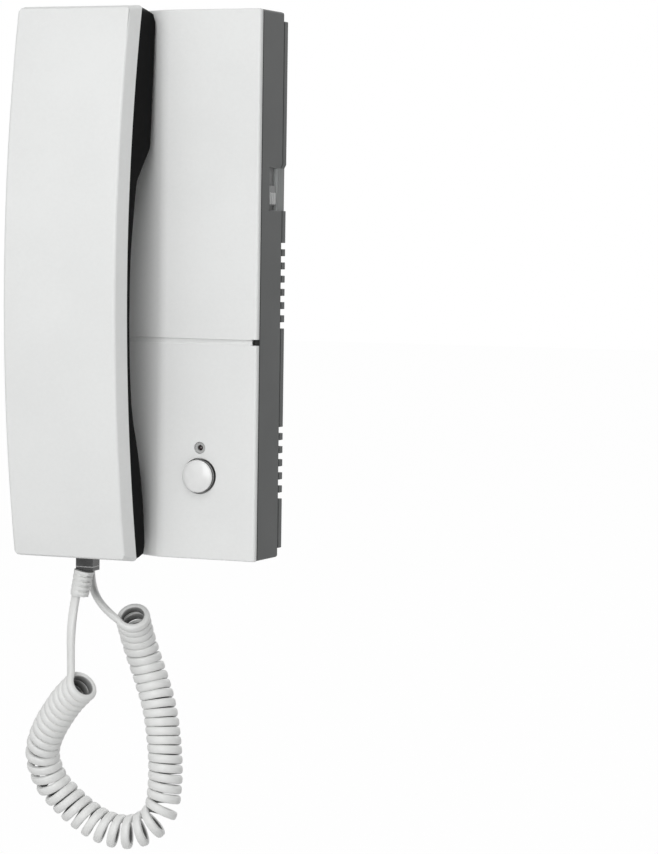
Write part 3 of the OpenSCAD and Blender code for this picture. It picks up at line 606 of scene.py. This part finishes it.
def zinc_plate(slot, colours):
    """Zinc plated sheet with a crystalline spangle."""
    material, place = new_finish(slot)
    crystals_per_metre = 140
    dull, bright = (0.5, 0.505, 0.515, 1), (0.66, 0.665, 0.67, 1)
    inputs = {"Vector": place, "Scale": crystals_per_metre}
    crystal = place.node("ShaderNodeTexVoronoi", None, inputs, output="Color")
    spangle = crystal.node("ShaderNodeSeparateColor", None, {"Color": crystal})
    cloud = noise(place, 14, detail=4)
    tone = 0.55 * spangle + 0.45 * cloud
    return dress(material, {
        "Base Color": tone.mix(dull, bright),
        "Roughness": 0.3 + 0.26 * tone,
        "Metallic": 1.0,
        "Normal": bump(noise(place, 0.6), 0.006),
    })


def board(slot, colours):
    """Brown laminate with the shadow of its tracks."""
    material, place = new_finish(slot)
    tracks_per_metre = 90
    fibre = noise(place, 0.8, detail=4)
    upright = place.node("ShaderNodeMapping", None, {"Vector": place, "Rotation": (math.pi / 2, 0, 0)})
    tracks = upright.node("ShaderNodeTexBrick", {"offset": 0.37}, {
        "Vector": upright, "Scale": tracks_per_metre, "Mortar Size": 0.03, "Mortar Smooth": 0.2,
    }, output="Fac")
    grain = fibre.mix(shade_of(colours.board, 0.85), shade_of(colours.board, 1.1))
    return dress(material, {
        "Base Color": tracks.mix(grain, shade_of(colours.board, 0.6)),
        "Roughness": uneven(0.42, fibre, 0.2),
        "Normal": bump(tracks, 0.03),
    })


def capacitor_sleeve(slot, colours):
    """Shrunk sleeve with a pale stripe round its foot."""
    material, place = new_finish(slot)
    foot = frame_box("capacitors")[1].y
    stripe = along(place, "Y").step((foot - 1.4) * MM, (foot - 1.1) * MM)
    stripe_colour = (0.4, 0.42, 0.5, 1)
    cloud = noise(place, 2)
    sleeve = cloud.mix(shade_of(colours.sleeve, 0.9), shade_of(colours.sleeve, 1.15))
    return dress(material, {
        "Base Color": stripe.mix(sleeve, stripe_colour),
        "Roughness": uneven(0.3, cloud, 0.1),
        "Coat Weight": 0.3,
    })


# Each of these is named as the record's slot that it makes
FINISHES = {make.__name__: make for make in (
    white_plastic, grey_plastic, black_plastic, mid_grey_plastic, terminal_green, component_black,
    soft_rubber, cord_white, button_white, lamp_red, plug_clear, contact_gold, screw_steel, receiver_can,
    zinc_plate, board, capacitor_sleeve,
)}
made_finishes = {}


def finish(slot):
    """The material of one of the record's slots, made when it is first asked for."""
    if slot not in made_finishes:
        made_finishes[slot] = FINISHES[slot](slot, bpy.context.scene.intercom_colours)
    return made_finishes[slot]


def paint(piece, slot):
    piece.data.materials.clear()
    piece.data.materials.append(finish(slot))


# Curves

def in_metres(points):
    return [Vector(point) * MM for point in points]


def smooth(value):
    """A smooth rise from 0 to 1, and level before and after."""
    value = min(max(value, 0.0), 1.0)
    return value * value * (3 - 2 * value)


def on_curve(points, t):
    """Point on a smooth curve through the points, t from 0 to the last point's number."""
    last = len(points) - 1
    i = min(int(t), last - 1)
    f = t - i
    b, c = points[i], points[i + 1]
    a = points[i - 1] if i > 0 else 2 * b - c
    d = points[i + 2] if i + 2 <= last else 2 * c - b
    square = 2 * a - 5 * b + 4 * c - d
    cube = 3 * b - a - 3 * c + d
    return 0.5 * (2 * b + (c - a) * f + square * f ** 2 + cube * f ** 3)


def path_length(path):
    return sum((b - a).length for a, b in zip(path, path[1:]))


def turns_round(sides):
    """Angles of evenly spaced points round a circle."""
    return [2 * math.pi * side / sides for side in range(sides)]


def arc(level, reach, first, last, steps):
    """(radius, height) points of a rounding above level, with its reach out and up, between two degrees."""
    angles = [math.radians(first + (last - first) * step / steps) for step in range(steps + 1)]
    return [(reach[0] * math.cos(angle), level + reach[1] * math.sin(angle)) for angle in angles]


# Meshes

def link_piece(name, mesh):
    piece = bpy.data.objects.new(name, mesh)
    bpy.context.scene.collection.objects.link(piece)
    return piece


def new_piece(name, points, faces):
    """A linked mesh object with smooth shading."""
    mesh = bpy.data.meshes.new(name)
    mesh.from_pydata(points, [], faces)
    mesh.polygons.foreach_set("use_smooth", [True] * len(mesh.polygons))
    mesh.update()
    return link_piece(name, mesh)


def stand_for(piece, *nodes):
    """Let a piece take the finish and the place of the frame's nodes."""
    slot = SLOTS[nodes[0]]
    paint(piece, slot)
    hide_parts(*nodes)
    return piece


def ride_as(piece, node):
    """Let a piece take a node's body, finish and place."""
    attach(piece, BODIES[node])
    return stand_for(piece, node)


def rings_to_faces(rings, sides):
    """Quads between neighbouring rings of points, and a face on each end."""
    faces = []
    for ring in range(rings - 1):
        for side in range(sides):
            a = ring * sides + side
            b = ring * sides + (side + 1) % sides
            faces.append((a, b, b + sides, a + sides))
    faces.append(tuple(range(sides - 1, -1, -1)))
    last = (rings - 1) * sides
    faces.append(tuple(range(last, last + sides)))
    return faces


def tube(name, path, facing, half_thickness, half_width, sides):
    """An oval tube along a path. facing gives the direction of its thickness at each point."""
    points = []
    for i, point in enumerate(path):
        ahead = (path[min(i + 1, len(path) - 1)] - path[max(i - 1, 0)]).normalized()
        out = (facing[i] - facing[i].dot(ahead) * ahead).normalized()
        across = ahead.cross(out)
        for turn in turns_round(sides):
            c, s = math.cos(turn), math.sin(turn)
            thick = half_thickness * math.copysign(abs(c) ** FULLNESS, c)
            wide = half_width * math.copysign(abs(s) ** FULLNESS, s)
            points.append(point + thick * out + wide * across)
    return new_piece(name, points, rings_to_faces(len(path), sides))


def even_shading(piece):
    """Let large faces lead the shading, and keep sharp edges."""
    normals = piece.modifiers.new("even_shading", "WEIGHTED_NORMAL")
    normals.keep_sharp = True
    return piece


def sharpen(piece, angle=SHARP_ANGLE):
    """Keep edges above an angle sharp."""
    piece.data.set_sharp_from_angle(angle=angle)
    return even_shading(piece)


def lathe(name, outline, centre, sides):
    """Turn (radius, height) points in millimetres about the axis out of the panel at centre."""
    points = []
    for radius, height in outline:
        for turn in turns_round(sides):
            offset = Vector((radius * math.cos(turn), -height, radius * math.sin(turn)))
            points.append((centre + offset) * MM)
    return sharpen(new_piece(name, points, rings_to_faces(len(outline), sides)))


def rounded_piece(name, node, width_of):
    """A piece with a node's place, shape and rounded convex edges. width_of gives each edge's rounding."""
    bm = bmesh.new()
    bm.from_mesh(frame["nodes"][node].data)
    bmesh.ops.remove_doubles(bm, verts=bm.verts, dist=MERGE_DISTANCE)
    bmesh.ops.dissolve_limit(bm, angle_limit=FLAT_ANGLE, verts=bm.verts, edges=bm.edges)
    weight = bm.edges.layers.float.new("bevel_weight_edge")
    widths = {}
    for edge in bm.edges:
        if not edge.is_manifold:
            raise RuntimeError(f"{node} has an open edge")
        sharp = edge.calc_face_angle() > SHARP_ANGLE
        if sharp and edge.is_convex:
            widths[edge] = width_of(edge)
        edge.smooth = not sharp or widths.get(edge, 0) > 0
    widest = max(widths.values())
    for edge, width in widths.items():
        edge[weight] = width / widest
    for face in bm.faces:
        face.smooth = True
    mesh = bpy.data.meshes.new(name)
    bm.to_mesh(mesh)
    bm.free()
    piece = link_piece(name, mesh)
    bevel = piece.modifiers.new("rounded_edges", "BEVEL")
    bevel.limit_method = "WEIGHT"
    bevel.width = widest
    bevel.segments = BEVEL_SEGMENTS
    bevel.use_clamp_overlap = False
    bevel.loop_slide = False
    return ride_as(even_shading(piece), node)


def everywhere(width):
    """The same rounding on every edge."""
    return lambda edge: width


def all_at(edge, test):
    """Whether both ends of an edge pass a test of their place in millimetres."""
    return all(test(point.co / MM) for point in edge.verts)


# Cord

def curl_line(cord):
    """Points of the curls, the direction out of the coil at each, and the directions of both ends."""
    route = in_metres(COIL_ROUTE)
    last = len(route) - 1
    steps = STEPS_PER_POINT * last
    line = [on_curve(route, i / STEPS_PER_POINT) for i in range(steps + 1)]

    def bend(i):
        before = line[i] - line[max(i - STEPS_PER_POINT, 0)]
        after = line[min(i + STEPS_PER_POINT, steps)] - line[i]
        if before.length == 0 or after.length == 0:
            return 0
        return before.angle(after) / ((before.length + after.length) / 2)

    def pitch(i):
        drop = (SAG_RANGE[0] - line[i].z / MM) / (SAG_RANGE[0] - SAG_RANGE[1])
        return (cord.spacing + cord.sag * smooth(drop)) / (1 - cord.curl_radius * bend(i))

    counts = [0]
    for i in range(1, steps + 1):
        counts.append(counts[-1] + (line[i] - line[i - 1]).length / ((pitch(i) + pitch(i - 1)) / 2))
    part_curl = (CURL_TURN[0] - CURL_TURN[1]) / 360
    curls = round(counts[-1] - part_curl) + part_curl

    def point(share):
        wanted = counts[-1] * share
        i = max(k for k in range(steps) if counts[k] <= wanted or k == 0)
        t = (i + (wanted - counts[i]) / (counts[i + 1] - counts[i])) / STEPS_PER_POINT
        before = on_curve(route, max(t - DIRECTION_REACH, 0))
        after = on_curve(route, min(t + DIRECTION_REACH, last))
        ahead = (after - before).normalized()
        a = ahead.cross(Vector((0, 1, 0))).normalized()
        b = ahead.cross(a)
        turn = math.radians(CURL_TURN[0] - 360 * curls * share)
        out = math.cos(turn) * a + math.sin(turn) * b
        return on_curve(route, t) + cord.curl_radius * out, out

    solid_step = 1 / round(curls * SOLID_RINGS)
    rings = round(curls * cord.rings)
    points, facing = zip(*(point(m / rings) for m in range(rings + 1)))
    start = (points[0] - point(solid_step)[0]).normalized()
    end = (points[-1] - point(1 - solid_step)[0]).normalized()
    return list(points), list(facing), start, end


def tail_line(leave, direction, joint, joint_direction, pull):
    """Points of a tail, one smooth bend from its boot to the curls."""
    a = leave + pull[0] * MM * direction
    b = joint + pull[1] * MM * joint_direction
    points = []
    for step in range(TAIL_STEPS + 1):
        t = step / TAIL_STEPS
        u = 1 - t
        points.append(u ** 3 * leave + 3 * t * u ** 2 * a + 3 * t ** 2 * u * b + t ** 3 * joint)
    return points


def boot_axis(boot):
    return Vector((-math.sin(boot["tilt"]), 0, -math.cos(boot["tilt"])))


def boot_end(boot):
    """Place where the cord leaves a boot."""
    return (boot["at"] + boot["length"] * boot_axis(boot) - Vector((boot["cord_out"], 0, 0))) * MM


def boot_sections(boot):
    """Distances down a boot, and how much of a rib is there: 1 on a rib and 0 in a groove."""
    edge, rounded = 0.14, 0.82
    rib_share = 0.6
    step = boot["length"] / boot["ribs"]
    sections = [(0, 1)]
    for rib in range(boot["ribs"]):
        low = (rib + rib_share) * step
        high = (rib + 1) * step
        sections += [(low - edge, 1), (low, rounded), (low + edge, 0)]
        if rib < boot["ribs"] - 1:
            sections += [(high - edge, 0), (high, rounded), (high + edge, 1)]
        else:
            sections += [(high, 0)]
    return sections


def strain_relief(name, boot):
    """A tapering boot of ribs on a core, with a spine on two sides."""
    sides = 40
    top, foot = 0.93 * boot["radius"], 0.92 * boot["radius"]
    top_squareness, lost_squareness = 3, 0.8
    groove, spine_groove = 0.95, 0.12
    spine_turn, spine_half, spine_edge = math.radians(60), 0.55, 0.25
    axis = boot_axis(boot)
    across = Vector((math.cos(boot["tilt"]), 0, -math.sin(boot["tilt"])))
    forward = Vector((0, -1, 0))
    sections = boot_sections(boot)
    points = []
    for distance, rib in sections:
        share = distance / boot["length"]
        reach = top + (foot - top) * share
        squareness = top_squareness - lost_squareness * share
        for turn in turns_round(sides):
            c, s = math.cos(turn), math.sin(turn)
            out = reach / (abs(c) ** squareness + abs(s) ** squareness) ** (1 / squareness)
            open_side = smooth((abs(math.sin(turn + spine_turn)) - spine_half) / spine_edge)
            out -= groove * (1 - rib) * (spine_groove + (1 - spine_groove) * open_side)
            points.append((boot["at"] + distance * axis + out * (c * across + s * forward)) * MM)
    return sharpen(new_piece(name, points, rings_to_faces(len(sections), sides)), RIB_ANGLE)


# Operators

class INTERCOM_OT_stage(bpy.types.Operator):
    """Place the camera, the lamps and the floor"""

    bl_idname = "intercom.stage"
    bl_label = "Stage"

    def execute(self, context):
        stage = context.scene.intercom_stage
        self.camera(context, stage)
        self.floor(stage)
        self.world(context, stage)
        for name, (place, width) in LAMPS.items():
            self.lamp(context, name + "_lamp", getattr(stage, name), place, width)
        context.scene.view_settings.view_transform = "Standard"
        return {"FINISHED"}

    def camera(self, context, stage):
        az, el = stage.azimuth, -stage.pitch
        ahead = Vector((-math.sin(az) * math.cos(el), math.cos(az) * math.cos(el), math.sin(el)))
        right = Vector((math.cos(az), math.sin(az), 0))
        above = right.cross(ahead)
        x = math.cos(stage.roll) * right + math.sin(stage.roll) * above
        y = math.cos(stage.roll) * above - math.sin(stage.roll) * right
        data = bpy.data.cameras.new("photo_camera")
        data.sensor_width = 36
        data.lens = stage.focal_pixels * data.sensor_width / max(IMAGE_SIZE)
        data.clip_start = 0.01
        camera = bpy.data.objects.new("photo_camera", data)
        camera.matrix_world = Matrix.Translation(stage.eye) @ Matrix((x, y, -ahead)).transposed().to_4x4()
        context.scene.collection.objects.link(camera)
        context.scene.camera = camera

    def lamp(self, context, name, power, place, width):
        data = bpy.data.lights.new(name, "AREA")
        data.energy = power
        data.size = width
        lamp = bpy.data.objects.new(name, data)
        lamp.location = place
        lamp.rotation_euler = (LAMP_TARGET - lamp.location).to_track_quat("-Z", "Y").to_euler()
        lamp.visible_camera = False
        context.scene.collection.objects.link(lamp)

    def seen(self, start):
        """1 where the picture, a reflection or a clear piece looks at a surface, and 0 for its light."""
        rays = [start.node("ShaderNodeLightPath", output=ray)
                for ray in ("Is Camera Ray", "Is Glossy Ray", "Is Transmission Ray")]
        return start.math("MAXIMUM", start.math("MAXIMUM", rays[0], rays[1]), rays[2])

    def floor(self, stage):
        half = FLOOR_HALF
        corners = [(-half, -half, stage.floor), (half, -half, stage.floor),
                   (half, half, stage.floor), (-half, half, stage.floor)]
        floor = new_piece("floor", corners, [(0, 1, 2, 3)])
        material = bpy.data.materials.new("pale_floor")
        material.use_nodes = True
        start = Signal(material.node_tree)
        dress(material, {"Base Color": (0.8, 0.8, 0.8, 1), "Roughness": 0.9, "Specular IOR Level": 0.0})
        shader = Signal(material.node_tree, material.node_tree.nodes["Principled BSDF"].outputs[0])
        glow = start.node("ShaderNodeEmission", None, {"Color": WHITE, "Strength": 1.0})
        both = start.node("ShaderNodeMixShader", None, {0: FLOOR_GLOW * self.seen(start), 1: shader, 2: glow})
        start.feed(material.node_tree.nodes["Material Output"], {"Surface": both})
        floor.data.materials.append(material)

    def world(self, context, stage):
        world = bpy.data.worlds.new("studio")
        world.use_nodes = True
        context.scene.world = world
        start = Signal(world.node_tree)
        light = start.node("ShaderNodeBackground", None, {"Color": WHITE, "Strength": stage.ambient})
        white = start.node("ShaderNodeBackground", None, {"Color": WHITE, "Strength": 1.0})
        both = start.node("ShaderNodeMixShader", None, {0: self.seen(start), 1: light, 2: white})
        start.feed(world.node_tree.nodes["World Output"], {"Surface": both})


class INTERCOM_OT_plugs(bpy.types.Operator):
    """Finish both plugs and make their strain reliefs"""

    bl_idname = "intercom.plugs"
    bl_label = "Plugs"

    def execute(self, context):
        edges = context.scene.intercom_edges
        for end, boot in ENDS.items():
            rounded_piece(end + "_clear_plug", end + "_plug", everywhere(edges.fine))
            ride_as(strain_relief(end + "_strain_relief", boot), end + "_boot")
        return {"FINISHED"}


class INTERCOM_OT_cord(bpy.types.Operator):
    """Make the curly cord from the base's plug to the handset's plug"""

    bl_idname = "intercom.cord"
    bl_label = "Curly cord"

    def execute(self, context):
        cord = context.scene.intercom_cord
        curls, facing, start, end = curl_line(cord)
        base_end = boot_end(BASE_BOOT)
        base_joint = curls[-1] + cord.reach * end
        base_tail = tail_line(base_end, boot_axis(BASE_BOOT), base_joint, end, BASE_PULL)
        handset_end = boot_end(HANDSET_BOOT)
        handset_joint = curls[0] + cord.reach * start
        handset_tail = tail_line(handset_end, boot_axis(HANDSET_BOOT), handset_joint, start, HANDSET_PULL)
        path = base_tail + curls[::-1] + handset_tail[::-1]
        base_facing = self.turn_to(base_tail, facing[-1])
        handset_facing = self.turn_to(handset_tail, facing[0])
        facing = base_facing + facing[::-1] + handset_facing[::-1]
        length = path_length(path)
        piece = tube("curly_cord", path, facing, cord.thickness / 2, cord.width / 2, cord.sides)
        self.paint_curl_shade(piece, len(base_tail), len(curls), len(path), cord.sides)
        stand_for(piece, "cord_curls", "cord_handset_tail", "cord_base_tail")
        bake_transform(piece)
        self.follow(piece, path, length, cord.sides)
        (cord.width + cord.thickness) / 2
        return {"FINISHED"}

    def paint_curl_shade(self, piece, first, curled, rings, sides):
        """Mark the inner side of the curls, which takes painted shade."""
        inner = [max(0.0, -math.cos(turn)) for turn in turns_round(sides)]
        marks = []
        for ring in range(rings):
            marks += inner if first <= ring < first + curled else [0.0] * sides
        piece.data.attributes.new(CURL_SHADE_ATTRIBUTE, "FLOAT", "POINT").data.foreach_set("value", marks)

    def turn_to(self, tail, last):
        """Directions of a tail's thickness, from the wall's direction at the plug to the curls' own."""
        first = Vector((0, 1, 0)) if last.y > 0 else Vector((0, -1, 0))
        count = len(tail) - 1
        return [first.lerp(last, smooth(i / count)) for i in range(count + 1)]

    def follow(self, piece, path, length, sides):
        """Work out each ring's smoothed share of the cord's length from the base's end; nothing keeps the
        shares.
        """
        shares = []
        so_far = 0.0
        for i, point in enumerate(path):
            so_far += (point - path[i - 1]).length if i else 0.0
            shares += [smooth(so_far / length)] * sides


class INTERCOM_OT_handset(bpy.types.Operator):
    """Finish the handset's white front and black back"""

    bl_idname = "intercom.handset"
    bl_label = "Handset"

    def execute(self, context):
        edges = context.scene.intercom_edges
        inside_parting = PARTING_RADIUS - 0.3

        def front_width(edge):
            at_end = all_at(edge, lambda p: abs(p.z) > FRONT_END)
            in_corner = any(abs(point.co.x / MM - HANDSET_MIDDLE) > FRONT_CORNER for point in edge.verts)
            return 0 if at_end and in_corner else edges.common

        def back_width(edge):
            if any(abs(point.co.z / MM) > BACK_END for point in edge.verts):
                return 0
            on_side = any(all_at(edge, lambda p: abs(p.x - side) < NEAR) for side in HANDSET_SIDES)
            at_parting = all_at(edge, lambda p: math.hypot(p.y - ARCH_CENTRE_Y, p.z) > inside_parting)
            return edges.flank if on_side and not at_parting else edges.fine

        rounded_piece("handset_front", "handset_front_shell", front_width)
        rounded_piece("handset_back", "handset_rear_shell", back_width)
        return {"FINISHED"}


class INTERCOM_OT_base(bpy.types.Operator):
    """Finish the panel cover and the rear case"""

    bl_idname = "intercom.base"
    bl_label = "Base"

    def execute(self, context):
        edges = context.scene.intercom_edges

        def at_end(edge):
            return all_at(edge, lambda p: abs(p.z) > HALF_HEIGHT - NEAR)

        def cover_width(edge):
            return edges.ends if at_end(edge) else edges.fine

        def tray_width(edge):
            on_flank = all_at(edge, lambda p: abs(p.x) > FLANK_X)
            return edges.tray if at_end(edge) and on_flank else edges.fine

        rounded_piece("panel_cover", "front_cover", cover_width)
        rounded_piece("rear_tray", "rear_case", tray_width)
        return {"FINISHED"}


class INTERCOM_OT_door_button(bpy.types.Operator):
    """Make the door button and the lamp above it"""

    bl_idname = "intercom.door_button"
    bl_label = "Door button and lamp"

    def execute(self, context):
        ride_as(lathe("button_cap", self.button_outline(), BUTTON_AT, 72), "door_button")
        ride_as(lathe("lamp_lens", self.lamp_outline(), LAMP_AT, 36), "lamp")
        return {"FINISHED"}

    def button_outline(self):
        """A stem, a flange behind the panel, and a cap with a flat dome."""
        stem, stem_end, stem_cut = 2.5, -4.7, 0.3
        flange, flange_cut = 7.8, 0.2
        flange_back, flange_front = -3.8, -2.6
        lip = 0.1
        return [
            (AXIS, stem_end), (stem - stem_cut, stem_end), (stem, stem_end + stem_cut), (stem, flange_back),
            (flange - flange_cut, flange_back), (flange, flange_back + flange_cut),
            (flange, flange_front - flange_cut), (flange - flange_cut, flange_front),
            (BUTTON_RADIUS, flange_front), (BUTTON_RADIUS, BUTTON_EDGE - lip),
            *arc(BUTTON_EDGE, (BUTTON_RADIUS, BUTTON_DOME), 12, 87, 25),
            (AXIS, BUTTON_EDGE + BUTTON_DOME),
        ]

    def lamp_outline(self):
        """A body behind the panel, and a round lens."""
        body, body_end, shoulder, shoulder_rise = 1.5, -10.3, -2.4, 0.1
        lens, lens_level = 1.05, -1.95
        return [
            (AXIS, body_end), (body, body_end), (body, shoulder), (lens, shoulder + shoulder_rise),
            *arc(lens_level, (lens, lens), 0, 84, 7), (AXIS, lens_level + lens),
        ]


class INTERCOM_OT_volume(bpy.types.Operator):
    """Finish the volume slider and the plate behind it"""

    bl_idname = "intercom.volume"
    bl_label = "Volume slider"

    def execute(self, context):
        edges = context.scene.intercom_edges
        rounded_piece("slider_plate", "volume_bezel", everywhere(edges.fine))
        rounded_piece("slider_knob", "volume_knob", everywhere(edges.fine))
        return {"FINISHED"}


class INTERCOM_OT_hook(bpy.types.Operator):
    """Finish the hook lever and wind its spring"""

    bl_idname = "intercom.hook"
    bl_label = "Hook lever"

    def execute(self, context):
        edges = context.scene.intercom_edges
        rounded_piece("cradle_lever", "hook_lever", everywhere(edges.common))
        low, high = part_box("hook_spring")
        wire = 0.3 * MM
        turns, rings, sides = 4, 24, 8
        middle = (low + high) / 2
        radius = (high.x - low.x) / 2 - wire
        path = []
        for i in range(turns * rings + 1):
            turn = 2 * math.pi * i / rings
            y = high.y - wire + (low.y - high.y + 2 * wire) * i / (turns * rings)
            path.append(Vector((middle.x + radius * math.cos(turn), y, middle.z + radius * math.sin(turn))))
        facing = [Vector((point.x - middle.x, 0, point.z - middle.z)) for point in path]
        spring = tube("lever_spring", path, facing, wire, wire, sides)
        stand_for(spring, "hook_spring")
        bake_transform(spring)
        return {"FINISHED"}


class INTERCOM_OT_wall_plate(bpy.types.Operator):
    """Finish the pressed wall plate"""

    bl_idname = "intercom.wall_plate"
    bl_label = "Wall plate"

    def execute(self, context):
        edges = context.scene.intercom_edges
        rounded_piece("pressed_plate", "wall_plate", everywhere(edges.fine))
        return {"FINISHED"}


class INTERCOM_OT_inner_pieces(bpy.types.Operator):
    """Give every piece that keeps its frame shape its own finish"""

    bl_idname = "intercom.inner_pieces"
    bl_label = "Inner pieces"

    def execute(self, context):
        for node, piece in frame["nodes"].items():
            paint(piece, SLOTS[node])
        return {"FINISHED"}


class INTERCOM_PT_pieces(bpy.types.Panel):
    """Settings and pieces of the station"""

    bl_idname = "INTERCOM_PT_pieces"
    bl_label = "Intercom"
    bl_space_type = "VIEW_3D"
    bl_region_type = "UI"
    bl_category = "Intercom"

    def draw(self, context):
        for group in SETTINGS:
            settings = getattr(context.scene, group)
            for name in settings.bl_rna.properties.keys():
                if name not in ("rna_type", "name"):
                    self.layout.prop(settings, name)
        for step in STEPS:
            self.layout.operator(step.bl_idname)


SETTINGS = {
    "intercom_cord": IntercomCord,
    "intercom_edges": IntercomEdges,
    "intercom_colours": IntercomColours,
    "intercom_stage": IntercomStage,
}
STEPS = (
    INTERCOM_OT_stage, INTERCOM_OT_plugs, INTERCOM_OT_cord, INTERCOM_OT_handset, INTERCOM_OT_base,
    INTERCOM_OT_door_button, INTERCOM_OT_volume, INTERCOM_OT_hook, INTERCOM_OT_wall_plate,
    INTERCOM_OT_inner_pieces,
)
CLASSES = (*SETTINGS.values(), *STEPS, INTERCOM_PT_pieces)


def register():
    for item in CLASSES:
        bpy.utils.register_class(item)
    for name, group in SETTINGS.items():
        setattr(bpy.types.Scene, name, PointerProperty(type=group))


def unregister():
    for name in SETTINGS:
        delattr(bpy.types.Scene, name)
    for item in reversed(CLASSES):
        bpy.utils.unregister_class(item)


def main():
    register()
    bpy.ops.intercom.stage()
    bpy.ops.intercom.plugs()
    bpy.ops.intercom.cord()
    bpy.ops.intercom.handset()
    bpy.ops.intercom.base()
    bpy.ops.intercom.door_button()
    bpy.ops.intercom.volume()
    bpy.ops.intercom.hook()
    bpy.ops.intercom.wall_plate()
    bpy.ops.intercom.inner_pieces()


if __name__ == "__main__":
    main()
